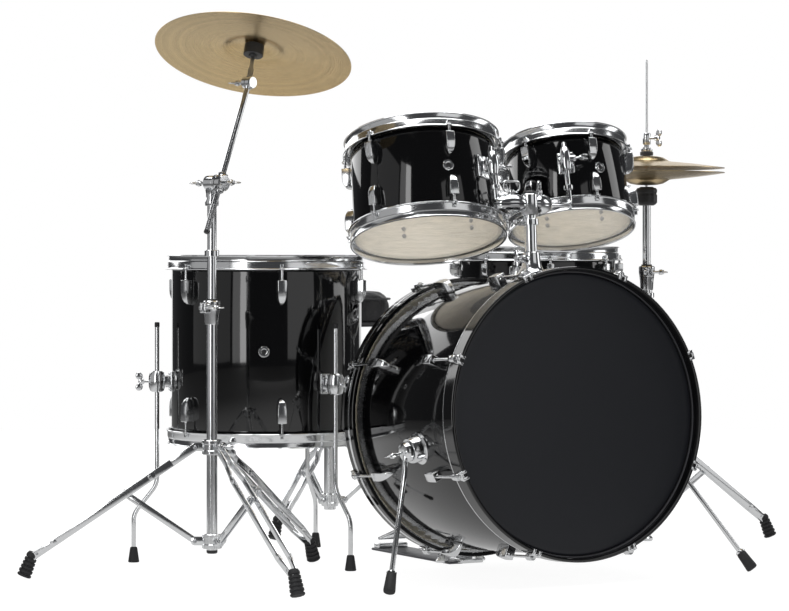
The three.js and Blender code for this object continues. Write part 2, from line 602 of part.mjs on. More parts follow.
const topHat = addPart(hihat, "hihat_top_cymbal",
  cymbalSolid(HIHAT.radius, HIHAT.height, HIHAT.bell), BRASS);
topHat.geometry = join(topHat.geometry);
topHat.position.z = HIHAT.highRim;
const lowHat = addPart(hihat, "hihat_bottom_cymbal",
  join(cymbalSolid(HIHAT.radius, HIHAT.height, HIHAT.bell)), BRASS);
lowHat.rotation.x = Math.PI;
lowHat.position.z = HIHAT.lowRim;

/** A tapered pedal plate from its heel pin up to its toe, along +X of its own frame. */
function pedalPlate(heelWidth, toeWidth, length, thick) {
  const outline = new THREE.Shape();
  outline.moveTo(0, -heelWidth / 2);
  outline.lineTo(length, -toeWidth / 2);
  outline.lineTo(length, toeWidth / 2);
  outline.lineTo(0, heelWidth / 2);
  return new THREE.ExtrudeGeometry(outline, { depth: thick, bevelEnabled: false });
}

const hihatPedal = groupAt(hihat, 0, 0, 0);
hihatPedal.rotation.z = radians(HIHAT.pedal + 180);
const hihatSlope = Math.atan2(HIHAT_HEEL.toeHeight - HIHAT_HEEL.height, HIHAT_HEEL.out - HIHAT_HEEL.toe);
const hihatLength = Math.hypot(HIHAT_HEEL.toeHeight - HIHAT_HEEL.height, HIHAT_HEEL.out - HIHAT_HEEL.toe);
const hihatBoard = addPart(hihatPedal, "hihat_footboard", join(pedalPlate(76, 46, hihatLength, 7)), CHROME);
hihatBoard.rotation.y = -hihatSlope;
hihatBoard.position.set(-HIHAT_HEEL.out, 0, HIHAT_HEEL.height);

// ---------------------------------------------------------------- snare drum and stand
const strainer = turned(box(16, 34, 62, [SNARE.radius + 5, 0, 2]), 45 + 180);
drumUnit("snare", SNARE, [strainer]);
const snareLever = groupAt(stage, ...SNARE.centre);
addPart(snareLever, "snare_strainer_lever", turned(join(
  box(5, 12, 58, [SNARE.radius + 13 + GAP + 2.5, 0, 8]),
  box(14, 16, 9, [SNARE.radius + 13 + GAP + 7, 0, 34]),
), 45 + 180), CHROME);

const snareStand = groupAt(stage, ...SNARE_STAND.place, 0);
addPart(snareStand, "snare_stand_base", join(
  tube(SNARE_STAND.tube, SNARE_STAND.upperTube + GAP, 36, SNARE_STAND.clamp[0] + 6),
  ringClamp(SNARE_STAND.clamp, SNARE_STAND.upperTube + GAP, 18, 280),
  spreadTripod(SNARE_STAND),
), CHROME);

/** Upper tube, hub and three arms turned up round the drum's lower hoop. */
function snareBasketSolid() {
  const bottom = SNARE.centre[2] - SNARE.depth / 2 - STEEL_HOOP.rise;
  const pieces = [
    rod(vec(0, 0, 150), vec(0, 0, SNARE_STAND.hub), SNARE_STAND.upperTube, 12),
    rod(vec(0, 0, SNARE_STAND.hub - 24), vec(0, 0, SNARE_STAND.hub + 6), 22, 12),
  ];
  const reach = SNARE.radius + STEEL_HOOP.flange + 5;
  for (const angle of [20, 140, 260]) {
    const side = polar(1, angle + 90, 0);
    pieces.push(strap(polar(0, angle, SNARE_STAND.hub - 8), polar(reach, angle, bottom - 10), 14, 10, side));
    pieces.push(strap(polar(reach, angle, bottom - 17), polar(reach, angle, bottom + 22), 7, 14, side));
    const [inner, outer] = [SNARE.radius - 8, reach].map((out) => polar(out, angle, bottom - 4.5));
    pieces.push(strap(inner, outer, 8, 14, side));
  }
  return join(pieces);
}
addPart(snareStand, "snare_basket", snareBasketSolid(), CHROME);

// ---------------------------------------------------------------- throne
const throne = groupAt(stage, ...THRONE.place, 0);
addPart(throne, "throne_base", join(
  tube(THRONE.tube, THRONE.post + GAP, 54, THRONE.clamp[0] + 6),
  ringClamp(THRONE.clamp, THRONE.post + GAP, 21, 150),
  spreadTripod(THRONE),
), CHROME);
const seatLow = THRONE.seatTop - THRONE.seatThick;
addPart(throne, "throne_post", join(
  rod(vec(0, 0, 160), vec(0, 0, seatLow - 12), THRONE.post, 12),
  rod(vec(0, 0, seatLow - 20), vec(0, 0, seatLow - 8 - GAP), 20, 12),
), CHROME);
addPart(throne, "throne_seat", join(
  rod(vec(0, 0, seatLow - 8), vec(0, 0, seatLow + 2), 60, 16),
  lathe([
    [0, seatLow], [THRONE.seatRadius - 8, seatLow], [THRONE.seatRadius, seatLow + 8],
    [THRONE.seatRadius, THRONE.seatTop - 22], [THRONE.seatRadius - 16, THRONE.seatTop - 4], [0, THRONE.seatTop],
  ]),
), VINYL);

// ---------------------------------------------------------------- kick pedal
/** Floor plate, hoop clamp, heel block and the two uprights that carry the axle. */
function pedalFrameSolid() {
  const { axleY, axleZ, heelY, width } = PEDAL;
  const pieces = [
    box(width, heelY + 20 - 446, 6, [0, (heelY + 20 + 446) / 2, 3]),
    box(50, 60, 9, [0, 446, 8.5]),
    box(46, 30, 34, [0, 469, 20]),
    box(30, 26, 6, [0, 446, 34]),
    box(width - 10, 24, 12, [0, heelY + 6, 9]),
  ];
  for (const side of [-1, 1]) {
    pieces.push(box(8, 20, axleZ + 14, [side * (width / 2 + 4), axleY, (axleZ + 14) / 2]));
    pieces.push(box(20, 26, 6, [side * (width / 2 - 2), axleY, 3]));
  }
  const holes = [-1, 1].map((side) =>
    rod(vec(side * (width / 2 - 6), axleY, axleZ), vec(side * (width / 2 + 16), axleY, axleZ), 6.5, 12));
  return cut(join(pieces), holes);
}
addPart(stage, "pedal_frame", pedalFrameSolid(), CHROME);

const board = { toeY: PEDAL.axleY + 22, toeZ: 112 };
const boardSlope = Math.atan2(board.toeZ - PEDAL.heelZ, PEDAL.heelY - board.toeY);
const boardLength = Math.hypot(board.toeZ - PEDAL.heelZ, PEDAL.heelY - board.toeY);
const kickBoard = addPart(stage, "pedal_footboard",
  join(pedalPlate(72, 58, boardLength, 7)), CHROME);
kickBoard.rotation.set(0, -boardSlope, -Math.PI / 2, "ZYX");
kickBoard.position.set(0, PEDAL.heelY, PEDAL.heelZ);

/** Axle with its cam, the beater shaft leaning back from the head, and the felt beater. */
function beaterSolid() {
  const axle = vec(0, PEDAL.axleY, PEDAL.axleZ);
  const lean = vec(0, Math.sin(radians(PEDAL.lean)), Math.cos(radians(PEDAL.lean)));
  const across = vec(0, -Math.cos(radians(PEDAL.lean)), Math.sin(radians(PEDAL.lean)));
  const head = axle.clone().addScaledVector(lean, PEDAL.reach);
  return join(
    rod(axle.clone().setX(-PEDAL.width / 2 - 6), axle.clone().setX(PEDAL.width / 2 + 6), 6, 12),
    rod(axle.clone().setX(-12), axle.clone().setX(12), 17, 12),
    rod(axle, head.clone().addScaledVector(lean, 8), 4.5, 8),
    rod(head.clone().addScaledVector(across, -18), head.clone().addScaledVector(across, 40), 24, 12),
  );
}
addPart(stage, "pedal_beater", beaterSolid(), CHROME);

// ---------------------------------------------------------------- stand the kit on its origin
group.updateMatrixWorld(true);
const bounds = new THREE.Box3().setFromObject(group, true);
const middle = bounds.getCenter(vec(0, 0, 0));
stage.position.set(-middle.x, -middle.y, -bounds.min.z);
group.updateMatrixWorld(true);

export default group;
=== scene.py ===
"""The looks of a five-piece drum kit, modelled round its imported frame."""

import json
import math
from types import SimpleNamespace

import bmesh
import bpy
from mathutils import Matrix, Vector


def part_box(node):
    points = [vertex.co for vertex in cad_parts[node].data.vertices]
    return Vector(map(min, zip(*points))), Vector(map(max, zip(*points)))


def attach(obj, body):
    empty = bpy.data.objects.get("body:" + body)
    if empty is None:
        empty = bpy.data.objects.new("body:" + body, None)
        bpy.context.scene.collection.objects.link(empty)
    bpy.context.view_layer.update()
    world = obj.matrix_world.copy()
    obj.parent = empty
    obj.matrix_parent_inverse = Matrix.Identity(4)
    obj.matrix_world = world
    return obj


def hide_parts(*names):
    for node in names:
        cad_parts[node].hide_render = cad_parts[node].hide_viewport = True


bl_info = {
    "name": "Drum Kit",
    "version": (1, 0, 0),
    "blender": (4, 5, 0),
    "location": "3D View > Sidebar > Drum Kit",
    "description": "Models the drums, cymbals, stands, throne and pedals of a drum kit",
    "category": "Add Mesh",
}

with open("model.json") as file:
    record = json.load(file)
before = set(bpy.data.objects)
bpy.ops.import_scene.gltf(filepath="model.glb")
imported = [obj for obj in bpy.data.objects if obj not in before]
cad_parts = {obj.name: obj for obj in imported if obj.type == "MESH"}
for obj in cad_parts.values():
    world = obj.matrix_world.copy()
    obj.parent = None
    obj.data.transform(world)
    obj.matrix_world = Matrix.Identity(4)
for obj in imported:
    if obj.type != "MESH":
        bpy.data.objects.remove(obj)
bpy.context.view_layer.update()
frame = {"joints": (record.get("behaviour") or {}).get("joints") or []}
JOINTS = {joint["name"]: joint for joint in frame["joints"]}
MM = 0.001
X_AXIS, Y_AXIS, Z_AXIS = Vector((1, 0, 0)), Vector((0, 1, 0)), Vector((0, 0, 1))

# Metres and degrees for the stage; the spurs' spread is in millimetres.
CAMERA_PLACE, CAMERA_TURN = (-3.089, -5.565, 0.653), (90, 0, -28.98)
CAMERA_LENS, CAMERA_SHIFT = 132.3, -0.064
FLOOR_RADIUS = 4.6
SPUR_SPREAD = 427


# ------------------------------------------------------------------ places in the frame
def joint_point(name):
    return Vector(JOINTS[name]["pos_m"])


def joint_axis(name):
    return Vector(JOINTS[name]["axis"]).normalized()


def box_centre(node):
    low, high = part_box(node)
    return (low + high) / 2


def standing(at, axis=Z_AXIS):
    up = Vector(axis).normalized()
    right = X_AXIS if abs(up.x) < 0.99 else Y_AXIS
    right = (right - up * right.dot(up)).normalized()
    turn = Matrix((right, up.cross(right), up)).transposed().to_4x4()
    return Matrix.Translation(at) @ turn


def shift(x, y, z):
    """A move in millimetres."""
    return Matrix.Translation(Vector((x, y, z)) * MM)


def spun(degrees, axis="Z"):
    return Matrix.Rotation(math.radians(degrees), 4, axis)


def polar(radius, degrees, z):
    """A point in metres from a radius, an angle and a height in millimetres and degrees."""
    angle = math.radians(degrees)
    return Vector((radius * math.cos(angle), radius * math.sin(angle), z)) * MM


# ------------------------------------------------------------------ modelling by hand
def clear_selection():
    bpy.ops.object.select_all(action="DESELECT")


def edit():
    bpy.ops.object.mode_set(mode="EDIT")


def leave():
    bpy.ops.object.mode_set(mode="OBJECT")


def pick(test):
    """Selects the vertices that pass a test, and the edges and faces between them."""
    mesh = bmesh.from_edit_mesh(bpy.context.object.data)
    for part in (mesh.verts, mesh.edges, mesh.faces):
        for item in part:
            item.select = False
    for vertex in mesh.verts:
        vertex.select = bool(test(vertex.co))
    mesh.select_mode = {"VERT"}
    mesh.select_flush_mode()
    bmesh.update_edit_mesh(bpy.context.object.data)


def tidy_mesh():
    """Merges doubles and points every face outwards, in edit mode."""
    bpy.ops.mesh.select_all(action="SELECT")
    bpy.ops.mesh.remove_doubles(threshold=2e-6)
    bpy.ops.mesh.normals_make_consistent(inside=False)


def done(finish):
    """Leaves edit mode and gives the active piece its finish."""
    leave()
    piece = bpy.context.object
    piece.data.materials.clear()
    piece.data.materials.append(finish)
    return piece


def moved(piece, matrix):
    piece.data.transform(matrix)
    if matrix.determinant() < 0:
        piece.data.flip_normals()
    piece.data.update()
    return piece


def copied(piece, matrix):
    twin = piece.copy()
    twin.data = piece.data.copy()
    bpy.context.scene.collection.objects.link(twin)
    return moved(twin, matrix)


def repeated(piece, matrices):
    """One copy of a piece for each matrix; the pattern piece itself is thrown away."""
    twins = [copied(piece, matrix) for matrix in matrices]
    bpy.data.objects.remove(piece)
    return twins


def joined(pieces):
    pieces = list(pieces)
    clear_selection()
    for piece in pieces:
        piece.select_set(True)
    bpy.context.view_layer.objects.active = pieces[0]
    if len(pieces) > 1:
        bpy.ops.object.join()
    return bpy.context.object


def applied(piece, kind, **settings):
    """Adds a modifier and applies it."""
    clear_selection()
    piece.select_set(True)
    bpy.context.view_layer.objects.active = piece
    modifier = piece.modifiers.new(kind.title(), kind)
    for name, value in settings.items():
        setattr(modifier, name, value)
    bpy.ops.object.modifier_apply(modifier=modifier.name)
    return piece


def softened(piece, width, segments=2, angle=40):
    return applied(piece, "BEVEL", width=width * MM, segments=segments, limit_method="ANGLE",
                   angle_limit=math.radians(angle), use_clamp_overlap=True)


def rounded(piece, levels=1):
    return applied(piece, "SUBSURF", levels=levels, render_levels=levels)


def turned(finish, profile, steps=32, closed=False):
    """A piece turned about Z from a profile of (radius, height) points in millimetres."""
    clear_selection()
    bpy.ops.mesh.primitive_plane_add(size=MM)
    edit()
    bpy.ops.mesh.merge(type="CENTER")
    points = [Vector((radius, 0, height)) * MM for radius, height in profile]
    if closed:
        points.append(points[0])
    bpy.ops.transform.translate(value=points[0])
    for here, there in zip(points, points[1:]):
        bpy.ops.mesh.extrude_vertices_move(TRANSFORM_OT_translate={"value": there - here})
    bpy.ops.mesh.select_all(action="SELECT")
    bpy.ops.mesh.remove_doubles(threshold=2e-6)
    bpy.ops.mesh.select_all(action="SELECT")
    bpy.ops.mesh.spin(steps=steps, angle=2 * math.pi, center=(0, 0, 0), axis=(0, 0, 1))
    tidy_mesh()
    return done(finish)


def rod(finish, start, end, radius, end_radius=None, steps=20, chamfer=0.6):
    """A straight round bar between two points in metres, its radii in millimetres."""
    end_radius = end_radius or radius
    length = (end - start).length / MM
    profile = [(0, 0), (radius - chamfer, 0), (radius, chamfer), (end_radius, length - chamfer),
               (end_radius - chamfer, length), (0, length)]
    return moved(turned(finish, profile, steps), standing(start, end - start))


def tube(finish, low, high, outer, inner, steps=28, chamfer=0.6):
    """A hollow tube on Z between two heights in millimetres."""
    profile = [(inner, low), (outer - chamfer, low), (outer, low + chamfer),
               (outer, high - chamfer), (outer - chamfer, high), (inner, high)]
    return turned(finish, profile, steps, closed=True)


def block(finish, x, y, z, bevel=1.0, segments=2):
    """A cast block about its own middle, in millimetres."""
    clear_selection()
    bpy.ops.mesh.primitive_cube_add(size=1)
    edit()
    bpy.ops.transform.resize(value=(x * MM, y * MM, z * MM))
    bpy.ops.mesh.bevel(offset=bevel * MM, segments=segments, affect="EDGES")
    tidy_mesh()
    return done(finish)


def egg(finish, x, y, z, segments=16, rings=10):
    """An egg-shaped lump about its own middle, from half lengths in millimetres."""
    clear_selection()
    bpy.ops.mesh.primitive_uv_sphere_add(segments=segments, ring_count=rings, radius=1)
    edit()
    bpy.ops.transform.resize(value=(x * MM, y * MM, z * MM))
    return done(finish)


def plate(finish, length, width, thick, bevel=0.5):
    """A strap with round ends: from one end's centre along Z, with its thickness along Y."""
    clear_selection()
    bpy.ops.mesh.primitive_circle_add(vertices=16, radius=width * MM / 2, fill_type="NGON",
                                      rotation=(0, 0, math.pi / 16))
    bpy.ops.object.transform_apply(rotation=True)
    edit()
    pick(lambda co: co.y > 0)
    bpy.ops.transform.translate(value=(0, length * MM, 0))
    bpy.ops.mesh.select_all(action="SELECT")
    bpy.ops.mesh.extrude_region_move(TRANSFORM_OT_translate={"value": (0, 0, thick * MM)})
    tidy_mesh()
    piece = done(finish)
    moved(piece, spun(90, "X") @ shift(0, 0, -thick / 2))
    return softened(piece, bevel)


def strap(finish, start, end, width, thick, side, bevel=0.5):
    """A round-ended strap between two points, with its thickness along the side."""
    along = (end - start).normalized()
    across = Vector(side).cross(along).normalized()
    turn = Matrix((across, along.cross(across), along)).transposed().to_4x4()
    piece = plate(finish, (end - start).length / MM, width, thick, bevel)
    return moved(piece, Matrix.Translation(start) @ turn)


def bent_points(points, bend, steps=6):
    """Points along straight runs with a curve of the given size at each corner."""
    line = [points[0]]
    for before, corner, after in zip(points, points[1:], points[2:]):
        back = corner + (before - corner).normalized() * bend * MM
        ahead = corner + (after - corner).normalized() * bend * MM
        for i in range(steps + 1):
            t = i / steps
            line.append(back * (1 - t) ** 2 + corner * 2 * t * (1 - t) + ahead * t ** 2)
    return line + [points[-1]]


def bent_rod(finish, points, radius, bend=14, smooth=4):
    """A round bar along straight runs with curved corners."""
    line = bent_points(points, bend) if bend else points
    clear_selection()
    bpy.ops.curve.primitive_nurbs_path_add()
    curve = bpy.context.object
    curve.data.splines.clear()
    spline = curve.data.splines.new("POLY")
    spline.points.add(len(line) - 1)
    for point, place in zip(spline.points, line):
        point.co = (*place, 1)
    curve.data.dimensions = "3D"
    curve.data.bevel_depth = radius * MM
    curve.data.bevel_resolution = smooth
    curve.data.use_fill_caps = True
    bpy.ops.object.convert(target="MESH")
    edit()
    tidy_mesh()
    piece = done(finish)
    return softened(piece, 0.7, 2, 60)


def coil(finish, radius, wire, turns, length, steps=12):
    """A coil spring about Z."""
    total = int(turns * steps)
    line = [polar(radius, 360 * i / steps, length * i / total) for i in range(total + 1)]
    return bent_rod(finish, line, wire, bend=0, smooth=1)


def settled(name, body, slot, pieces, *nodes, smooth=35):
    """Joins pieces into one named piece that moves with a body and stands for its CAD nodes."""
    piece = joined(pieces)
    piece.name = name
    piece.data.name = name
    clear_selection()
    piece.select_set(True)
    bpy.ops.object.shade_smooth_by_angle(angle=math.radians(smooth))
    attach(piece, body)
    if nodes:
        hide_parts(*nodes)
    return piece


# ------------------------------------------------------------------ finishes
class Wire:
    """A node socket, or a plain value, that takes part in sums."""

    def __init__(self, finish, value):
        self.finish = finish
        self.value = value

    def sum(self, operation, *values):
        values = [getattr(value, "value", value) for value in values]
        vector = any(isinstance(v, bpy.types.NodeSocket) and v.type == "VECTOR" for v in values)
        kind = "ShaderNodeVectorMath" if vector else "ShaderNodeMath"
        return self.finish.node(kind, {"operation": operation}, dict(enumerate(values)))

    def __add__(self, other):
        return self.sum("ADD", self, other)

    def __sub__(self, other):
        return self.sum("SUBTRACT", self, other)

    def __rsub__(self, other):
        return self.sum("SUBTRACT", other, self)

    def __mul__(self, other):
        return self.sum("MULTIPLY", self, other)

    def __truediv__(self, other):
        return self.sum("DIVIDE", self, other)

    __radd__ = __add__
    __rmul__ = __mul__


class Finish:
    """A material whose pattern is put together from nodes in Object coordinates."""

    def __init__(self, name, **settings):
        self.material = bpy.data.materials.new(name)
        self.material.use_nodes = True
        self.tree = self.material.node_tree
        self.shader = self.tree.nodes["Principled BSDF"]
        for socket, value in settings.items():
            self.set(socket.replace("_", " "), value)

    def node(self, kind, settings=None, sockets=None, output=0):
        """Adds a node with its settings and the values or links of its sockets."""
        node = self.tree.nodes.new(kind)
        for name, value in (settings or {}).items():
            setattr(node, name, value)
        for name, value in (sockets or {}).items():
            value = getattr(value, "value", value)
            if isinstance(value, bpy.types.NodeSocket):
                self.tree.links.new(value, node.inputs[name])
            else:
                node.inputs[name].default_value = value
        return Wire(self, node.outputs[output])

    def set(self, socket, value):
        value = getattr(value, "value", value)
        if isinstance(value, bpy.types.NodeSocket):
            self.tree.links.new(value, self.shader.inputs[socket])
        elif isinstance(value, tuple) and len(value) == 3:
            self.shader.inputs[socket].default_value = (*value, 1)
        else:
            self.shader.inputs[socket].default_value = value

    def place(self):
        return self.node("ShaderNodeTexCoord", output="Object")

    def noise(self, scale, detail=2.0, rough=0.5, stretch=(1, 1, 1), at=None):
        spot = self.node("ShaderNodeMapping", None, {"Vector": at or self.place(), "Scale": stretch})
        return self.node("ShaderNodeTexNoise", None,
                         {"Vector": spot, "Scale": scale, "Detail": detail, "Roughness": rough})

    def ramp(self, factor, low, high):
        """A soft step of a value between two limits, from 0 to 1."""
        return self.node("ShaderNodeMapRange", {"interpolation_type": "SMOOTHSTEP"},
                         {"Value": factor, "From Min": low, "From Max": high})

    def mix(self, factor, first, second):
        return self.node("ShaderNodeMix", {"data_type": "RGBA"},
                         {0: factor, 6: (*first, 1) if isinstance(first, tuple) else first,
                          7: (*second, 1) if isinstance(second, tuple) else second}, output=2)

    def bump(self, height, distance, strength=1.0):
        self.set("Normal", self.node("ShaderNodeBump", None,
                                     {"Height": height, "Distance": distance * MM, "Strength": strength}))

    def speckled(self, base, spread, scale):
        """Roughness about a base value, broken up by fine noise."""
        self.set("Roughness", self.noise(scale, 3) * spread + (base - spread / 2))


def gloss_black(colour):
    """Laminated black wrap: deep gloss with the faintest orange peel."""
    finish = Finish("gloss_black_wrap", Coat_Weight=0.6, Coat_Roughness=0.03)
    finish.set("Base Color", finish.mix(finish.noise(3.5), tuple(c * 0.8 for c in colour), colour))
    finish.speckled(0.07, 0.05, 60)
    finish.bump(finish.noise(160, 1), 0.012, 0.35)
    return finish.material


def satin_black_head(colour):
    """Black drum film with a fine satin grain."""
    finish = Finish("satin_black_head", Specular_IOR_Level=0.42)
    finish.set("Base Color", finish.mix(finish.noise(5, 3), tuple(c * 0.85 for c in colour), colour))
    finish.speckled(0.36, 0.1, 40)
    finish.bump(finish.noise(900, 2), 0.03, 0.4)
    return finish.material


def chrome_plate(colour):
    """Polished chrome with slight ripples and handling marks."""
    finish = Finish("chrome_plate", Metallic=1.0)
    finish.set("Base Color", finish.mix(finish.noise(9, 3), tuple(c * 0.93 for c in colour), colour))
    finish.speckled(0.15, 0.08, 35)
    finish.bump(finish.noise(55, 2), 0.03, 0.16)
    return finish.material


def satin_steel(name, colour, roughness):
    """Brushed or blasted metal, for springs, wires, plates and flesh hoops."""
    finish = Finish(name, Metallic=1.0)
    finish.set("Base Color", finish.mix(finish.noise(30, 4), tuple(c * 0.8 for c in colour), colour))
    finish.speckled(roughness, 0.15, 120)
    finish.bump(finish.noise(500, 2), 0.04, 0.4)
    return finish.material


def drum_film(name, colour, alpha, roughness):
    """Drum film: clear and a little hazy, or coated white with a fine tooth."""
    finish = Finish(name, Specular_IOR_Level=0.5)
    haze = finish.noise(14, 4)
    finish.set("Base Color", finish.mix(haze, tuple(c * 0.94 for c in colour), colour))
    if alpha < 1:
        finish.set("Alpha", finish.ramp(haze, 0.2, 0.9) * 0.06 + alpha)
    finish.speckled(roughness, 0.08, 50)
    finish.bump(finish.noise(1400 if alpha == 1 else 90, 2), 0.03, 0.5)
    return finish.material


def ply(light, dark):
    """Pale ply veneer: long grain streaks, open pores and a light sealer."""
    finish = Finish("shell_ply", Coat_Weight=0.15, Coat_Roughness=0.35)
    grain = finish.noise(24, 6, 0.6, (1, 1, 14))
    pores = finish.ramp(finish.noise(180, 2, 0.5, (1, 1, 9)), 0.58, 0.75)
    colour = finish.mix(finish.ramp(grain, 0.3, 0.75), light, dark)
    finish.set("Base Color", finish.mix(pores * 0.35, colour, tuple(c * 0.6 for c in dark)))
    finish.speckled(0.5, 0.12, 80)
    finish.bump(grain + pores * -0.5, 0.08, 0.4)
    return finish.material


def cymbal_metal(name, centre, axis, light, dark):
    """Lathed bronze: fine turned grooves round the middle, broad tone rings and a satin glow."""
    finish = Finish(name, Metallic=1.0)
    away = finish.node("ShaderNodeVectorMath", {"operation": "SUBTRACT"},
                       {0: finish.place(), 1: tuple(centre)})
    crossed = finish.node("ShaderNodeVectorMath", {"operation": "CROSS_PRODUCT"}, {0: away, 1: tuple(axis)})
    radius = finish.node("ShaderNodeVectorMath", {"operation": "LENGTH"}, {0: crossed}, output="Value")

    def rings(scale, detail):
        return finish.node("ShaderNodeTexNoise", {"noise_dimensions": "1D"},
                           {"W": radius, "Scale": scale, "Detail": detail, "Roughness": 0.6})

    groove, band = rings(1500, 3), rings(90, 3)
    tone = finish.ramp(band * 0.5 + groove * 0.5, 0.3, 0.72)
    stain = finish.noise(9, 4)
    finish.set("Base Color", finish.mix(tone * 0.75 + stain * 0.25, dark, light))
    finish.set("Roughness", groove * 0.14 + stain * 0.08 + 0.16)
    finish.bump(groove + band * 0.5, 0.07, 0.45)
    return finish.material


def moulded(name, colour, roughness, grain, depth):
    """Rubber, nylon or plastic with a moulded skin."""
    finish = Finish(name, Specular_IOR_Level=0.4)
    finish.set("Base Color", finish.mix(finish.noise(25, 3), tuple(c * 0.75 for c in colour), colour))
    finish.speckled(roughness, 0.12, 90)
    finish.bump(finish.noise(grain, 2), depth, 0.5)
    return finish.material


def seat_vinyl(name, colour, roughness):
    """Black seat vinyl: a leather-like cell grain with softer, duller hollows, painted darker in colour as
    shade.
    """
    finish = Finish(name, Specular_IOR_Level=0.45)
    cells = finish.node("ShaderNodeTexVoronoi", {"feature": "DISTANCE_TO_EDGE"},
                        {"Vector": finish.place(), "Scale": 620})
    crease = finish.ramp(cells, 0.0, 0.16)
    # The base colour halves in the grain's creases: painted shade.
    finish.set("Base Color", finish.mix(crease, tuple(c * 0.5 for c in colour), colour))
    finish.set("Roughness", (1 - crease) * 0.2 + finish.noise(12, 3) * 0.12 + roughness)
    finish.bump(crease + finish.noise(90, 2) * 0.4, 0.1, 0.6)
    return finish.material


def felt(name, colour):
    """Pressed felt: matted fibres with a soft edge sheen."""
    finish = Finish(name, Sheen_Weight=0.3, Sheen_Roughness=0.6, Specular_IOR_Level=0.2)
    fibre = finish.noise(700, 5, 0.7)
    finish.set("Base Color", finish.mix(fibre, tuple(c * 0.6 for c in colour), colour))
    finish.set("Roughness", fibre * 0.1 + 0.86)
    finish.bump(fibre + finish.noise(160, 3) * 0.6, 0.35, 0.8)
    return finish.material


FINISHES = {}


def make_finishes(colours):
    black, chrome, brass = (tuple(value) for value in (colours.shell, colours.chrome, colours.cymbal))
    crash, hats = joint_point("crash_spin"), box_centre("hihat_top_cymbal")
    FINISHES.update(
        black=gloss_black(black),
        head=satin_black_head(tuple(colours.front_head)),
        chrome=chrome_plate(chrome),
        steel=satin_steel("satin_steel", (0.55, 0.56, 0.58), 0.34),
        dark_steel=satin_steel("dark_steel", (0.13, 0.13, 0.14), 0.42),
        alloy=satin_steel("brushed_alloy", (0.78, 0.79, 0.8), 0.26),
        clear=drum_film("clear_film", (0.97, 0.97, 0.96), 0.16, 0.14),
        coated=drum_film("coated_film", (0.86, 0.86, 0.84), 1, 0.55),
        ply=ply(tuple(colours.ply), tuple(c * 0.78 for c in colours.ply)),
        crash=cymbal_metal("crash_bronze", crash, joint_axis("crash_spin"), brass,
                           tuple(c * 0.76 for c in brass)),
        hats=cymbal_metal("hihat_bronze", hats, Z_AXIS, brass, tuple(c * 0.76 for c in brass)),
        rubber=moulded("foot_rubber", (0.016, 0.016, 0.017), 0.62, 400, 0.1),
        plastic=moulded("black_nylon", (0.02, 0.02, 0.021), 0.34, 250, 0.04),
        vinyl=seat_vinyl("seat_vinyl", (0.021, 0.021, 0.023), 0.34),
        piping=seat_vinyl("seat_piping", (0.03, 0.03, 0.032), 0.3),
        felt=felt("beater_felt", (0.72, 0.7, 0.65)),
        dark_felt=felt("cymbal_felt", (0.035, 0.035, 0.037)),
    )


# ------------------------------------------------------------------ settings
class DrumKitSizes(bpy.types.PropertyGroup):
    hoop_sheet: bpy.props.FloatProperty(
        name="Hoop sheet", description="Thickness of the flanged steel hoops", default=2.3 * MM,
        unit="LENGTH", subtype="DISTANCE")
    wrap_sheet: bpy.props.FloatProperty(
        name="Wrap sheet", description="Thickness of the black wrap on the shells", default=0.5 * MM,
        unit="LENGTH", subtype="DISTANCE")
    rod_radius: bpy.props.FloatProperty(
        name="Tension rod radius", description="Radius of the drums' tension rods", default=2.7 * MM,
        unit="LENGTH", subtype="DISTANCE")
    seat_crown: bpy.props.FloatProperty(
        name="Seat crown", description="How far the throne's seat swells when it is stuffed",
        default=4 * MM, unit="LENGTH", subtype="DISTANCE")


class DrumKitColours(bpy.types.PropertyGroup):
    shell: bpy.props.FloatVectorProperty(
        name="Shell", description="Colour of the shells and bass hoops", subtype="COLOR",
        default=(0.0012, 0.0012, 0.0014))
    front_head: bpy.props.FloatVectorProperty(
        name="Front head", description="Colour of the bass drum's front head", subtype="COLOR",
        default=(0.0062, 0.0068, 0.0088))
    chrome: bpy.props.FloatVectorProperty(
        name="Chrome", description="Colour of the plated metal", subtype="COLOR",
        default=(0.9, 0.91, 0.92))
    cymbal: bpy.props.FloatVectorProperty(
        name="Cymbals", description="Colour of the cymbals' bronze", subtype="COLOR",
        default=(0.76, 0.58, 0.32))
    ply: bpy.props.FloatVectorProperty(
        name="Ply", description="Colour of the ply inside the shells", subtype="COLOR",
        default=(0.88, 0.81, 0.68))
    floor: bpy.props.FloatVectorProperty(
        name="Floor", description="Colour of the studio floor", subtype="COLOR",
        default=(0.12, 0.12, 0.12))


# ------------------------------------------------------------------ parts that repeat
def wing_screw(finish, length=26, size=1.0):
    """A screw along Z from the origin: shank, waisted hub and two swept ears."""
    shank = turned(finish, [(0, 0), (2.6, 0), (3, 0.5), (3, length - 11), (5.6, length - 10),
                            (6.4, length - 4),
                            (4.8, length - 1), (4.8, length + 1), (0, length + 2)], 16)
    ears = []
    for side in (-1, 1):
        ear = egg(finish, 8.6 * size, 2.3, 7.6 * size, 12, 8)
        ears.append(moved(ear, shift(side * 11.5 * size, 0, length) @ spun(side * -34, "Y")))
    return joined([shank, *ears])


def loop_key(finish, wide=46, tall=21, wire=2.3):
    """A bolt along Z from the origin with a handle bent from wire."""
    bolt = turned(finish, [(0, 0), (3, 0), (3, 5), (6, 5.6), (6.6, 7), (6.6, 12), (5.6, 14), (0, 14.6)], 20)
    corners = ((0, 10), (wide / 2, 10), (wide / 2, 10 + tall), (-wide / 2, 10 + tall), (-wide / 2, 10),
               (0, 10))
    handle = bent_rod(finish, [Vector((x, 0, z)) * MM for x, z in corners], wire, tall * 0.44, smooth=3)
    return joined([bolt, handle])


def screw_head(finish, radius=4.2, height=3):
    """A domed screw head on Z."""
    return turned(finish, [(0, -1), (radius, -1), (radius, height * 0.35), (radius * 0.75, height * 0.85),
                           (0, height)], 16)


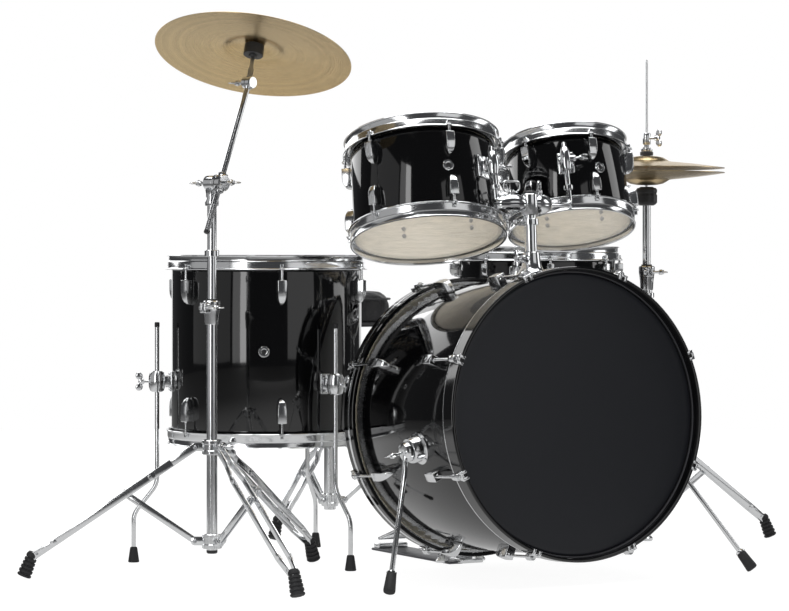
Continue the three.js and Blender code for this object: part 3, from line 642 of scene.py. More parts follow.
def square_rod(finish, length, radius):
    """A tension rod along Z from its lug at the origin: rod, washer and square key head."""
    shank = turned(finish, [(0, -4), (radius, -4), (radius, length), (5.4, length), (5.4, length + 1.4),
                            (4.4, length + 2.2), (0, length + 2.2)], 12)
    head = moved(block(finish, 5.8, 5.8, 8, 0.6), shift(0, 0, length + 5.8))
    return joined([shank, head])


def lug_casing(finish, length, width, reach):
    """A bullet-shaped casing: out from the shell along X, its flat mouth up, its point down."""
    steps = ((0, 1, 1), (0.42, 1, 1), (0.6, 0.97, 0.94), (0.76, 0.87, 0.8), (0.88, 0.7, 0.6),
             (0.96, 0.46, 0.36),
             (1, 0.22, 0.16))
    clear_selection()
    bpy.ops.mesh.primitive_plane_add(size=1)
    edit()
    bpy.ops.transform.resize(value=((reach + 1) * MM, width * MM, 1))
    bpy.ops.transform.translate(value=((reach - 1) * MM / 2, 0, length * MM / 2))
    for (above, thick, wide), (below, thinner, narrower) in zip(steps, steps[1:]):
        drop = (above - below) * length * MM
        bpy.ops.mesh.extrude_region_move(TRANSFORM_OT_translate={"value": (0, 0, drop)})
        bpy.ops.transform.resize(value=(thinner / thick, narrower / wide, 1), center_override=(0, 0, 0))
    tidy_mesh()
    casing = softened(done(finish), 2.6, 4, 42)
    mouth = turned(finish, [(0, -2), (4.6, -2), (4.6, 0.9), (3.9, 1.6), (0, 1.6)], 16)
    return joined([casing, moved(mouth, shift(reach * 0.62, 0, length / 2))])


def rubber_foot(length=52, radius=15):
    """A ribbed foot: from the leg at the origin down to the floor along Z."""
    profile = [(0, 0), (radius * 0.6, 0)]
    ribs = 5
    for i in range(ribs):
        low, high = (length * (0.1 + 0.16 * (i + part)) for part in (0, 0.55))
        size = radius * (0.8 + 0.045 * i)
        profile += [(size, low), (size, high), (size * 0.86, high + 1.4), (size * 0.86, low + length * 0.155)]
    profile += [(radius, length * 0.92), (radius, length - 1.5), (radius - 1.5, length), (0, length)]
    return turned(FINISHES["rubber"], profile, 24)


def height_clamp(low, high, inner, outer, angle):
    """A cast clamp round a tube on Z: a wide collar over a tapering skirt, a split ear and its wing screw."""
    chrome = FINISHES["chrome"]
    tall = high - low
    barrel = turned(chrome, [
        (inner, low), (outer * 0.77, low), (outer * 0.8, low + 1.6), (outer * 0.86, low + tall * 0.4),
        (outer * 0.96, high - 19), (outer, high - 16), (outer, high - 2), (outer - 2, high), (inner, high)],
        32, closed=True)
    pieces, ear = [barrel], high - 14
    for side in (-1, 1):
        lip = rounded(block(chrome, 21, 8, 22, 3, 2), 1)
        pieces.append(moved(lip, spun(angle) @ shift(outer + 3, side * 4.8, ear)))
    screw = wing_screw(chrome, 26)
    pieces.append(moved(screw, spun(angle) @ shift(outer + 6, 7, ear) @ spun(-90, "X")))
    nut = screw_head(chrome, 6, 4)
    pieces.append(moved(nut, spun(angle) @ shift(outer + 6, -8.4, ear) @ spun(90, "X")))
    sleeve = tube(FINISHES["plastic"], high - 1, high + 3.5, inner + 2.4, inner, 28, 0.4)
    return pieces + [sleeve]


# ------------------------------------------------------------------ drums with steel hoops
STEEL_DRUMS = {
    "large_tom": dict(radius=152.4, half=101.6, lugs=6, first=-39, lug=46, wide=18, from_edge=57),
    "small_tom": dict(radius=127.0, half=88.9, lugs=6, first=-37, lug=46, wide=18, from_edge=53),
    "floor_tom": dict(radius=203.2, half=190.5, lugs=6, first=-48, lug=52, wide=19, from_edge=68),
    "snare": dict(radius=177.8, half=63.5, lugs=8, first=22.5, lug=30, wide=15, from_edge=42),
}
ROD_OFFSET = 13
HOOP_DROP = 20.5


def drum_place(name, top="batter", bottom="bottom"):
    """The drum's own frame: in its middle, Z along the shell towards its top head."""
    high, low = box_centre(f"{name}_{top}_head"), box_centre(f"{name}_{bottom}_head")
    return standing((high + low) / 2, high - low)


def round_places(drum, ends=(1, -1)):
    """The turn to each tension rod's place; at the bottom end the drum is turned over."""
    step = 360 / drum["lugs"]
    return [spun(drum["first"] + step * i) @ (spun(180, "X") if end < 0 else Matrix())
            for end in ends for i in range(drum["lugs"])]


def shell_pieces(name, body, drum, place, node, wrap_sheet, film=7.0):
    """The ply shell with its bearing edges, and the wrap round it."""
    radius, half = drum["radius"], drum["half"]
    skin = wrap_sheet / MM
    inner, outer = radius - film, radius - skin
    ply = turned(FINISHES["ply"], [
        (inner, -half + 4), (outer - 2.4, -half), (outer - 1, -half), (outer, -half + 1.2),
        (outer, half - 1.2), (outer - 1, half), (outer - 2.4, half), (inner, half - 4),
    ], 96, closed=True)
    wrap = turned(FINISHES["black"], [
        (outer + 0.02, -half + 9), (radius - 0.15, -half + 9), (radius, -half + 9.4),
        (radius, half - 9.4), (radius - 0.15, half - 9), (outer + 0.02, half - 9),
    ], 96, closed=True)
    settled(f"{name}_ply_shell", body, "black_wrap", [moved(ply, place)], node)
    settled(f"{name}_wrap", body, "black_wrap", [moved(wrap, place)])


def film_profile(radius, half):
    """A film drawn over the bearing edge down into its flesh hoop."""
    return [(0, half + 0.9), (radius - 12, half + 0.9), (radius - 3.5, half + 0.75), (radius - 1, half + 0.2),
            (radius + 0.6, half - 1.2), (radius + 1.3, half - 6), (radius + 1.05, half - 6),
            (radius + 0.3, half - 1.2), (radius - 1.2, half + 0.02), (radius - 3.6, half + 0.5),
            (radius - 12, half + 0.65), (0, half + 0.65)]


def flesh_profile(radius, half):
    return [(radius + 1.1, half - 8), (radius + 4.1, half - 8), (radius + 4.3, half - 7),
            (radius + 4.3, half - 3.4), (radius + 3.4, half - 2.4), (radius + 1.7, half - 2.6)]


def steel_hoop_profile(radius, half, sheet):
    """The counter hoop's section: rolled lip, upright, step and the flange that takes the rods."""
    inner, outer = radius + 4.9, radius + 4.9 + sheet
    return [(inner, half + 6.5), (inner + 0.7, half + 9.6), (radius + 7.6, half + 10.9),
            (radius + 9.6, half + 10.6), (radius + 10.2, half + 9.4), (radius + 9.4, half + 8.4),
            (radius + 8, half + 8.1), (outer, half + 6.4), (outer, half - 1.5), (outer + 1.2, half - 3.2),
            (outer + 2, half - 5), (outer + 2, half - 14.6), (outer + 2.8, half - 17),
            (radius + 12.6, half - 18),
            (radius + 13.4, half - 19.2), (radius + 12.6, half - 20.3), (radius + 9, half - 20.3),
            (radius + 7.2, half - 18.6), (radius + 7.0, half - 15), (radius + 7.0, half - 5.4),
            (radius + 6.2, half - 4.3), (inner, half - 3.6)]


def head_and_hoop(name, body, drum, place, end, film, sizes):
    """One end of a drum: film, flesh hoop, steel hoop with its ears, and tension rods."""
    radius, half = drum["radius"], drum["half"]
    kind = "batter" if end > 0 else "bottom"
    level = "top" if end > 0 else "bottom"
    over = place if end > 0 else place @ spun(180, "X")
    head = turned(FINISHES[film], film_profile(radius, half), 80)
    settled(f"{name}_{kind}_film", body, "clear_head", [moved(head, over)], f"{name}_{kind}_head")
    ring = turned(FINISHES["alloy"], flesh_profile(radius, half), 80, closed=True)
    settled(f"{name}_{kind}_flesh_hoop", body, "steel", [moved(ring, over)])
    section = steel_hoop_profile(radius, half, sizes.hoop_sheet / MM)
    hoop = moved(turned(FINISHES["chrome"], section, 96, closed=True), over)
    low = half - HOOP_DROP
    ear = block(FINISHES["chrome"], 12, 15, 2.3, 1.0)
    edit()
    pick(lambda co: co.x > 2 * MM)
    bpy.ops.transform.resize(value=(1, 0.66, 1))
    leave()
    moved(ear, shift(radius + 13.2, 0, low + 1.25))
    ears = repeated(ear, [place @ turn for turn in round_places(drum, (end,))])
    settled(f"{name}_{level}_flanged_hoop", body, "chrome", [hoop, *ears], f"{name}_{level}_hoop")
    mouth = half - drum["from_edge"] + drum["lug"] / 2
    bar = square_rod(FINISHES["chrome"], low + 2.5 - mouth, sizes.rod_radius / MM)
    moved(bar, shift(radius + ROD_OFFSET, 0, mouth))
    rods = repeated(bar, [place @ turn for turn in round_places(drum, (end,))])
    settled(f"{name}_{level}_tension_rods", body, "steel", rods)


def lug_pieces(name, body, drum, place, reach=20):
    """Lug casings outside the shell, and the screws that hold them inside it."""
    radius, half = drum["radius"], drum["half"]
    casing = lug_casing(FINISHES["chrome"], drum["lug"], drum["wide"], reach)
    moved(casing, shift(radius, 0, half - drum["from_edge"]))
    turns = round_places(drum)
    settled(f"{name}_lugs", body, "chrome", repeated(casing, [place @ turn for turn in turns]))
    screws = joined([
        moved(screw_head(FINISHES["steel"], 5, 3),
              shift(radius - 7, 0, half - drum["from_edge"] + lift) @ spun(-90, "Y"))
        for lift in (-8, 8)])
    settled(f"{name}_lug_screws", body, "steel", repeated(screws, [place @ turn for turn in turns]))


def vent(name, body, drum, place, angle, height=0):
    """A plain ring grommet where air leaves the shell, with a black disc in it as painted shade for the dark
    hole.
    """
    ring = turned(FINISHES["chrome"], [(5, -1), (11, -1), (11.5, 0.6), (10.5, 1.7), (7.5, 2.2), (5.6, 1.6)],
                  32, closed=True)
    # The black disc is painted shade: it stands for the dark hole through the shell.
    hole = turned(FINISHES["plastic"], [(0, -0.6), (5.4, -0.6), (5.4, 0.1), (0, 0.1)], 24)
    at = place @ spun(angle) @ shift(drum["radius"], 0, height) @ spun(90, "Y")
    settled(f"{name}_vent", body, "chrome", [moved(ring, at), moved(hole, at)])


def steel_drum(name, body, sizes, batter="clear", bottom="clear", vent_angle=-119):
    drum = STEEL_DRUMS[name]
    place = drum_place(name)
    shell_pieces(name, body, drum, place, f"{name}_shell", sizes.wrap_sheet)
    head_and_hoop(name, body, drum, place, 1, batter, sizes)
    head_and_hoop(name, body, drum, place, -1, bottom, sizes)
    lug_pieces(name, body, drum, place)
    vent(name, body, drum, place, vent_angle)
    return drum, place


# ------------------------------------------------------------------ bass drum
BASS = dict(radius=279.4, half=203.2, lugs=8, first=22.5, lug=54, wide=19, from_edge=102)
BASS_HOOP = dict(inner=285.5, outer=293.5, width=38, proud=21)
BASS_ROD = 20
HOLDER_Z = BASS["half"] + BASS_HOOP["proud"] - 165
BASS_PLACE = drum_place("bass", "front", "batter")


def bass_hoop(name, end, place, stripe):
    """A lacquered wooden hoop with a bright stripe, its claws and its square-headed rods."""
    over = place if end > 0 else place @ spun(180, "X")
    face = BASS["half"] + BASS_HOOP["proud"]
    inner, outer, back = BASS_HOOP["inner"], BASS_HOOP["outer"], face - BASS_HOOP["width"]
    wood = turned(FINISHES["black"], [
        (inner, back + 1.2), (inner + 1.2, back), (outer - 1.4, back), (outer - 0.2, back + 1.2),
        (outer - 0.2, face - 2.2), (outer - 2, face - 0.3), (outer - 3, face), (inner + 2.2, face),
        (inner + 0.6, face - 0.6), (inner, face - 2),
    ], 128, closed=True)
    low, high = (back + edge for edge in stripe)
    inlay = turned(FINISHES["chrome"], [
        (outer - 0.6, low), (outer - 0.05, low + 0.2), (outer + 0.1, low + 0.6), (outer + 0.1, high - 0.6),
        (outer - 0.05, high - 0.2), (outer - 0.6, high)], 128, closed=True)
    settled(f"bass_{name}_wood_hoop", "kit", "black_wrap", [moved(wood, over), moved(inlay, over)],
            f"bass_{name}_hoop")
    claw = bass_claw(outer, face)
    turns = [place @ turn for turn in round_places(BASS, (end,))]
    settled(f"bass_{name}_claws", "kit", "chrome", repeated(claw, turns))
    mouth = BASS["half"] - BASS["from_edge"] + BASS["lug"] / 2
    bar = moved(square_rod(FINISHES["chrome"], face - 12 - mouth, 2.9),
                shift(BASS["radius"] + BASS_ROD, 0, mouth))
    settled(f"bass_{name}_tension_rods", "kit", "steel", repeated(bar, turns))


def bass_claw(outer, face):
    """A cast claw: a saddle over the hoop, two toes down its face and a socket for the rod."""
    chrome = FINISHES["chrome"]
    saddle = block(chrome, 5, 21, 26, 1.6, 3)
    edit()
    pick(lambda co: co.z < -8 * MM)
    bpy.ops.transform.resize(value=(1, 0.55, 1))
    leave()
    moved(saddle, shift(outer + 3, 0, face - 10.5))
    toes = []
    for side in (-1, 1):
        toe = block(chrome, 13, 6.5, 3.4, 1.2, 2)
        toes.append(moved(toe, shift(outer - 1.6, side * 6.6, face + 1.2)))
    socket = turned(chrome, [(3.2, -12), (6.4, -12), (7.6, -9), (7.6, 7), (6.6, 8.6), (3.2, 8.6)], 24,
                    closed=True)
    moved(socket, shift(BASS["radius"] + BASS_ROD, 0, face - 17))
    return joined([saddle, *toes, socket])


def bass_head(name, end, place, film, slot):
    """One end of the bass drum: its film and the metal flesh hoop round the film's edge."""
    over = place if end > 0 else place @ spun(180, "X")
    radius, half = BASS["radius"], BASS["half"]
    head = turned(FINISHES[film], film_profile(radius, half), 128)
    settled(f"bass_{name}_film", "kit", slot, [moved(head, over)], f"bass_{name}_head")
    ring = turned(FINISHES["dark_steel" if end > 0 else "alloy"], [
        (radius + 1.1, half - 8), (radius + 5.4, half - 8), (radius + 5.8, half - 6.8),
        (radius + 5.8, half + 2),
        (radius + 4.8, half + 3), (radius + 2.4, half + 2.2), (radius + 1.6, half)], 128, closed=True)
    settled(f"bass_{name}_flesh_hoop", "kit", "steel", [moved(ring, over)])


def bass_lug():
    """A small curved casing that takes one rod."""
    casing = lug_casing(FINISHES["chrome"], BASS["lug"], BASS["wide"], 27)
    return moved(casing, shift(BASS["radius"], 0, BASS["half"] - BASS["from_edge"]))


class DRUMKIT_OT_bass_drum(bpy.types.Operator):
    """Model the bass drum: shell, wrap, heads, wooden hoops, claws, rods, lugs and brackets"""

    bl_idname = "drumkit.bass_drum"
    bl_label = "Bass Drum"

    def execute(self, context):
        place, sizes = BASS_PLACE, context.scene.drum_kit_sizes
        shell_pieces("bass", "kit", BASS, place, "bass_drum_shell", sizes.wrap_sheet)
        bass_head("front", 1, place, "head", "black_head")
        bass_head("batter", -1, place, "coated", "clear_head")
        bass_hoop("front", 1, place, (0.6, 3.4))
        bass_hoop("batter", -1, place, (14, 22))
        settled("bass_lugs", "kit", "chrome",
                repeated(bass_lug(), [place @ turn for turn in round_places(BASS)]))
        self.holder_base(place)
        self.spur_brackets(place)
        return {"FINISHED"}

    def holder_base(self, place):
        """The flared cast base on top of the shell that takes the tom post."""
        chrome, low = FINISHES["chrome"], BASS["radius"]
        at = place @ shift(0, 0, HOLDER_Z) @ spun(-90, "X")
        flare = turned(chrome, [
            (13, low + 52), (13, low - 5), (46, low - 5), (46, low + 1.6), (44.6, low + 2.8), (37, low + 5),
            (29, low + 10), (23, low + 18), (19.4, low + 28), (17.6, low + 40), (17, low + 50.6),
            (15.6, low + 52)],
            48, closed=True)
        pieces = [moved(flare, at)]
        bush = turned(FINISHES["plastic"], [(13, low + 49), (15, low + 51.8), (15, low + 53), (13, low + 53)],
                      32, closed=True)
        pieces.append(moved(bush, at))
        for side in (-1, 1):
            for along in (-1, 1):
                bolt = screw_head(chrome, 4.4, 3.4)
                pieces.append(moved(bolt, at @ shift(side * 27, along * 27, low + 3)))
        boss = turned(chrome, [(0, 12), (9.4, 12), (8.4, 22), (8.4, 29), (7, 31), (0, 31)], 20)
        across = at @ shift(0, 0, low + 38) @ spun(200)
        pieces.append(moved(boss, across @ spun(90, "Y")))
        pieces.append(moved(wing_screw(chrome, 24), across @ shift(26, 0, 0) @ spun(90, "Y")))
        settled("bass_holder_base", "kit", "chrome", pieces)

    def spur_brackets(self, place):
        """A stepped round bracket for the spur on each side of the shell."""
        low = BASS["radius"]
        for name, angle in (("left", 192), ("right", -12)):
            at = place @ shift(0, 0, HOLDER_Z) @ spun(angle) @ spun(90, "Y")
            cup = turned(FINISHES["chrome"], [
                (0, low - 4), (33, low - 4), (33, low + 3.4), (31.5, low + 4.8), (27, low + 6), (26, low + 9),
                (26, low + 23.6), (24.6, low + 25.8), (20, low + 25.8), (19, low + 24.6),
                (0, low + 24.6)], 40)
            bolts = [moved(screw_head(FINISHES["chrome"], 3.6, 2.8),
                           at @ spun(turn) @ shift(29.4, 0, low + 4.4)) for turn in (45, 135, 225, 315)]
            settled(f"bass_spur_bracket_{name}", "kit", "chrome", [moved(cup, at), *bolts])


class DRUMKIT_OT_spurs(bpy.types.Operator):
    """Model the bass drum's two folding spurs: hub, bent leg, washer and rubber tip"""

    bl_idname = "drumkit.spurs"
    bl_label = "Bass Drum Spurs"

    def execute(self, context):
        chrome, low = FINISHES["chrome"], BASS["radius"]
        ground = BASS_PLACE @ Vector((0, 0, 0))
        for name, side, angle in (("left", -1, 192), ("right", 1, -12)):
            at = BASS_PLACE @ shift(0, 0, HOLDER_Z) @ spun(angle) @ spun(90, "Y")
            hub = turned(chrome, [(0, low + 26.6), (18.6, low + 26.6), (20, low + 28), (20, low + 36),
                                  (18, low + 39.4), (12, low + 41.8), (0, low + 41.8)], 32)
            middle = at @ Vector((0, 0, (low + 34.25) * MM))
            knee = middle + Vector((side * 14, -22, -42)) * MM
            foot = Vector((ground.x + side * SPUR_SPREAD * MM, FRONT_Y + 10 * MM, 0))
            slope = (knee - foot).normalized()
            foot.z = 12 * MM * math.hypot(slope.x, slope.y)
            slope = (knee - foot).normalized()
            tip_top = foot + slope * 42 * MM
            leg = bent_rod(chrome, [middle, knee, tip_top.lerp(foot, 0.3)], 5.25, 24)
            tip = turned(FINISHES["rubber"],
                         [(0, 0), (8.4, 0), (11.4, 1.6), (12, 5), (11, 20), (10, 38), (9, 41.5),
                                              (0, 41.5)], 24)
            washer = turned(chrome, [(0, 41.6), (10.4, 41.6), (10.4, 44), (7, 47), (0, 47)], 24)
            down = standing(foot, slope)
            wing = moved(wing_screw(chrome, 28), at @ shift(0, 0, low + 40))
            settled(f"bass_spur_{name}_leg", f"bass_spur_{name}", "chrome",
                    [moved(hub, at), leg, moved(tip, down), moved(washer, down), wing], f"bass_spur_{name}")
        return {"FINISHED"}


# ------------------------------------------------------------------ toms, their holder and arms
TOM_LEAN = {"large_tom": -67, "small_tom": -122}
ARM_FROM_SHELL = 27
FRONT_Y = joint_point("throne_seat_spin").y - 1200 * MM
POST_HEAD = BASS_PLACE @ Vector((0, 430 * MM, HOLDER_Z * MM))


def arm_line(name):
    """Where a tom's arm stands: its elbow at the clamp's height, and the top of its upright."""
    place, drum = drum_place(name), STEEL_DRUMS[name]
    up = place.to_3x3() @ Z_AXIS
    foot = place @ polar(drum["radius"] + ARM_FROM_SHELL, TOM_LEAN[name], 0)
    return foot + up * ((POST_HEAD.z - foot.z) / up.z), foot + up * 45 * MM


class DRUMKIT_OT_tom_holder(bpy.types.Operator):
    """Model the tom holder: post, memory collar and two split clamps, and the toms' two arms"""

    bl_idname = "drumkit.tom_holder"
    bl_label = "Tom Holder"

    def execute(self, context):
        chrome = FINISHES["chrome"]
        at = BASS_PLACE @ shift(0, 0, HOLDER_Z) @ spun(-90, "X")
        post = turned(chrome, [(10, 150), (12.5, 150), (12.5, 451), (11.5, 452), (10, 452)], 32, closed=True)
        cap = turned(FINISHES["plastic"], [(0, 450), (12.8, 450), (12.8, 454), (10, 457), (0, 458)], 32)
        collar = turned(chrome, [(12.6, 386.4), (16.4, 386.4), (17.4, 387.4), (17.4, 398.6), (16.4, 399.6),
                                 (12.6, 399.6)], 32, closed=True)
        lug = block(chrome, 10, 12, 12.6, 1.4)
        sleeve = turned(chrome, [(12.6, 406), (15, 406), (16.4, 408), (16.4, 449), (15, 450.4),
                                 (12.6, 450.4)],
                        32, closed=True)
        pieces = [moved(piece, at) for piece in (post, cap, collar, sleeve)]
        pieces.append(moved(lug, at @ spun(120) @ shift(21, 0, 393)))
        pieces.append(moved(wing_screw(chrome, 22), at @ spun(120) @ shift(21, 4, 393) @ spun(-90, "X")))
        for name in ("large_tom", "small_tom"):
            pieces += self.clamp(name)
        settled("tom_holder_post", "tom_post", "chrome", pieces, "tom_post")
        for name in ("large_tom", "small_tom"):
            self.arm(name)
        return {"FINISHED"}

    def clamp(self, name):
        """A split head that grips an arm: two cast shells, their bolt and its loop handle."""
        chrome = FINISHES["chrome"]
        elbow, _ = arm_line(name)
        away = (elbow - POST_HEAD).normalized()
        turn = Matrix((away, Z_AXIS.cross(away), Z_AXIS)).transposed().to_4x4()
        at = Matrix.Translation(POST_HEAD) @ turn
        pieces = []
        for side in (1, -1):
            half = egg(chrome, 37, 23, 21, 40, 20)
            edit()
            bpy.ops.mesh.select_all(action="SELECT")
            bpy.ops.mesh.bisect(plane_co=(0, 0, side * 1.2 * MM), plane_no=(0, 0, side), clear_inner=True,
                                use_fill=True)
            tidy_mesh()
            leave()
            pieces.append(moved(softened(half, 1.2, 2, 60), at @ shift(41, 0, 0)))
        core = block(FINISHES["dark_steel"], 54, 30, 3, 0.5)
        pieces.append(moved(core, at @ shift(41, 0, 0)))
        bush = turned(FINISHES["dark_steel"], [(6.2, -2), (9.5, -2), (9.5, 1.2), (6.2, 1.2)], 24, closed=True)
        pieces.append(moved(bush, at @ shift(74, 0, 0) @ spun(90, "Y")))
        pieces.append(moved(loop_key(chrome), at @ shift(40, 0, 15) @ spun(24)))
        pieces.append(moved(screw_head(chrome, 6, 5), at @ shift(40, 0, -20) @ spun(180, "X")))
        return pieces

    def arm(self, name):
        """An arm from the clamp, round its elbow and up through the tom's bracket."""
        elbow, top = arm_line(name)
        inner = POST_HEAD + (elbow - POST_HEAD).normalized() * 16 * MM
        arm = bent_rod(FINISHES["chrome"], [inner, elbow, top], 5.25, 14, smooth=5)
        collar = moved(turned(FINISHES["chrome"],
                              [(5.4, 0), (9.4, 0), (10, 0.8), (10, 8.6), (9.2, 9.4), (5.4, 9.4)],
                              24, closed=True), standing(elbow.lerp(top, 0.24), top - elbow))
        settled(f"{name}_l_arm", f"{name}_arm", "chrome", [arm, collar], f"{name}_arm")


def tom_bracket(name):
    """The cast bracket on a rack tom: oval flange, barrel round the arm, wing screw."""
    chrome, drum, place = FINISHES["chrome"], STEEL_DRUMS[name], drum_place(name)
    radius = drum["radius"]
    at = place @ spun(TOM_LEAN[name]) @ shift(radius, 0, 8)
    flange = rounded(block(chrome, 8, 36, 48, 3.5, 2), 1)
    neck = rounded(block(chrome, 30, 19, 30, 5, 2), 1)
    barrel = turned(chrome, [(5.9, -25), (7.8, -25), (9.2, -22.6), (11.6, -12), (12.2, 0), (11.6, 12),
                             (9.2, 22.6),
                             (7.8, 25), (5.9, 25)], 32, closed=True)
    round_arm = at @ shift(ARM_FROM_SHELL, 0, 0)
    pieces = [moved(flange, at @ shift(1.5, 0, 0)), moved(neck, at @ shift(12, 0, 0)),
              moved(barrel, round_arm)]
    boss = turned(chrome, [(0, 8), (8.4, 8), (7.6, 14), (7.6, 20), (6.2, 22), (0, 22)], 24)
    pieces.append(moved(boss, round_arm @ spun(-90, "X")))
    pieces.append(moved(wing_screw(chrome, 24), round_arm @ shift(0, 16, 0) @ spun(-90, "X")))
    pieces.append(moved(screw_head(chrome, 5.4, 5), round_arm @ shift(0, -11, 0) @ spun(90, "X")))
    for lift in (-18, 18):
        pieces.append(moved(screw_head(chrome, 3.8, 3), at @ shift(5, 0, lift) @ spun(90, "Y")))
    settled(f"{name}_bracket", name, "chrome", pieces)


class DRUMKIT_OT_rack_toms(bpy.types.Operator):
    """Model the large and small rack toms with their brackets"""

    bl_idname = "drumkit.rack_toms"
    bl_label = "Rack Toms"

    def execute(self, context):
        for name, vent_angle in (("large_tom", -100), ("small_tom", -88)):
            steel_drum(name, name, context.scene.drum_kit_sizes, vent_angle=vent_angle)
            tom_bracket(name)
        return {"FINISHED"}


# ------------------------------------------------------------------ floor tom
LEG_ANGLES = (-79, 41, 161)
LEG_OFFSET = 32


class DRUMKIT_OT_floor_tom(bpy.types.Operator):
    """Model the floor tom with its three leg brackets and three sliding legs"""

    bl_idname = "drumkit.floor_tom"
    bl_label = "Floor Tom"

    def execute(self, context):
        drum, place = steel_drum("floor_tom", "kit", context.scene.drum_kit_sizes, vent_angle=-118)
        column = place.translation
        floor = Matrix.Translation((column.x, column.y, 0))
        height = 384 - column.z / MM
        for number, angle in enumerate(LEG_ANGLES, 1):
            self.bracket(number, place @ spun(angle) @ shift(drum["radius"], 0, height))
            self.leg(number, floor, angle, drum["radius"] + LEG_OFFSET)
        return {"FINISHED"}

    def bracket(self, number, at):
        """A round two-part clamp on the shell, with its wing screw."""
        chrome = FINISHES["chrome"]
        flange = rounded(block(chrome, 7, 33, 44, 3, 2), 1)
        neck = rounded(block(chrome, 24, 17, 26, 4, 2), 1)
        halves = []
        for side in (-1, 1):
            half = turned(chrome, [(5.3, -21), (11, -22), (14.6, -19.6), (17.4, -12), (18.4, 0), (17.4, 12),
                                   (14.6, 19.6), (11, 22), (5.3, 21)], 40, closed=True)
            edit()
            bpy.ops.mesh.select_all(action="SELECT")
            bpy.ops.mesh.bisect(plane_co=(side * 1.1 * MM, 0, 0), plane_no=(side, 0, 0), clear_inner=True,
                                use_fill=True)
            tidy_mesh()
            leave()
            halves.append(moved(softened(half, 0.6, 2, 60), at @ shift(LEG_OFFSET, 0, 0)))
        pieces = [moved(flange, at @ shift(1.5, 0, 0)), moved(neck, at @ shift(10, 0, 0)), *halves,
                  moved(wing_screw(chrome, 24), at @ shift(46, 0, 0) @ spun(90, "Y"))]
        for lift in (-16, 16):
            pieces.append(moved(screw_head(chrome, 3.8, 3), at @ shift(4.6, 0, lift) @ spun(90, "Y")))
        settled(f"floor_tom_leg_bracket_{number}", "kit", "chrome", pieces)

    def leg(self, number, floor, angle, axis):
        chrome, foot = FINISHES["chrome"], 285
        points = [floor @ polar(radius, angle,
                                z) for radius, z in ((axis, 502), (axis, 165), (foot, 103), (foot, 20))]
        leg = bent_rod(chrome, points, 4.75, 16, smooth=4)
        tip = turned(FINISHES["rubber"],
                     [(0, 0), (10.6, 0), (12, 1.4), (11.4, 5), (8, 29), (7, 32), (0, 32)], 24)
        cap = turned(FINISHES["rubber"], [(0, 500), (5.4, 500), (5.4, 508), (4.4, 510), (0, 510)], 16)
        settled(f"floor_tom_support_{number}", f"floor_tom_leg_{number}", "chrome",
                [leg, moved(tip, floor @ Matrix.Translation(polar(foot, angle, 0))),
                 moved(cap, floor @ Matrix.Translation(polar(axis, angle, 0)))],
                f"floor_tom_leg_{number}")


# ------------------------------------------------------------------ tripods
LEG_PIVOT = 34
STRAP = dict(thick=2.5, width=16, inner=10, bow=13)
FOOT = dict(length=52, radius=15, lean=22, ankle=40)


def leg_line(column, angle, foot_radius, collar, bracket):
    """A tripod leg's points: pivot, brace pin, foot, ankle and middle pin, and its directions."""
    line = SimpleNamespace(side=polar(1000, angle + 90, 0))
    line.pivot = column + polar(LEG_PIVOT, angle, collar)
    line.low = column + polar(LEG_PIVOT, angle, bracket)
    lean = math.radians(FOOT["lean"])
    line.tread = polar(1000 * math.sin(lean), angle, -1000 * math.cos(lean))
    line.foot = column + polar(foot_radius, angle, FOOT["radius"] * math.sin(lean))
    line.ankle = line.foot - line.tread * FOOT["ankle"] * MM
    line.down = (line.ankle - line.pivot).normalized()
    line.pin = line.pivot + line.down * ((collar - bracket) * MM / (-2 * line.down.z))
    return line


def rivet(at, side, length):
    """A pin with a domed head at both ends, across a strap."""
    half = length / 2
    pin = turned(FINISHES["steel"], [(0, -half - 2.6), (2.6, -half - 2.2), (4, -half - 0.8), (4, -half),
                                     (2.4, -half), (2.4, half), (4, half), (4, half + 0.8), (2.6, half + 2.2),
                                     (0, half + 2.6)], 14)
    return moved(pin, standing(at, side))


def leg_pieces(line):
    """Both straps of a leg, pins and the rubber foot."""
    gap = (STRAP["inner"] + STRAP["thick"]) / 2 * MM
    bends = ((0, gap), (0.14, gap), (0.26, STRAP["bow"] * MM), (0.86, STRAP["bow"] * MM), (1, gap))
    pieces = []
    for edge in (-1, 1):
        points = [line.pivot.lerp(line.ankle, part) + line.side * edge * wide for part, wide in bends]
        pieces += [strap(FINISHES["chrome"], start, end, STRAP["width"], STRAP["thick"], line.side)
                   for start, end in zip(points, points[1:])]
    pieces += [rivet(line.pivot, line.side, 15), rivet(line.ankle - line.down * 16 * MM, line.side, 15)]
    top = line.foot - line.tread * FOOT["length"] * MM
    pieces.append(moved(rubber_foot(FOOT["length"], FOOT["radius"] - 0.4), standing(top, line.tread)))
    return pieces


def brace_pieces(line, reach=4):
    """The brace from the lower bracket to the leg, its pin included."""
    along = (line.pin - line.low).normalized()
    pieces = []
    for edge in (-1, 1):
        aside = line.side * edge * 3.1 * MM
        pieces.append(strap(FINISHES["chrome"], line.low + aside, line.pin + along * reach * MM + aside, 13,
                            1.9,
                            line.side))
    return pieces + [rivet(line.low, line.side, 13)]


def ring_pieces(column, angles, height, inner, cheeks):
    """A ring round the tube with one tongue, or a pair of cheeks, for each leg or brace."""
    chrome = FINISHES["chrome"]
    at = Matrix.Translation(column)
    ring = turned(chrome, [(inner, height - 15), (18.6, height - 15), (20, height - 13.6), (20, height - 7),
                           (18.8, height - 5.6), (18.8, height + 5.6), (20, height + 7), (20, height + 13.6),
                           (18.6, height + 15), (inner, height + 15)], 32, closed=True)
    pieces = [moved(ring, at)]
    for angle in angles:
        side = polar(1000, angle + 90, 0)
        edges = (-5.6, 5.6) if cheeks else (-2.7, 2.7)
        for edge in edges:
            start, end = (column + polar(radius, angle,
                                         height) + side * edge * MM for radius in (22, LEG_PIVOT))
            pieces.append(strap(chrome, start, end, 17, 2.2, side))
    return pieces


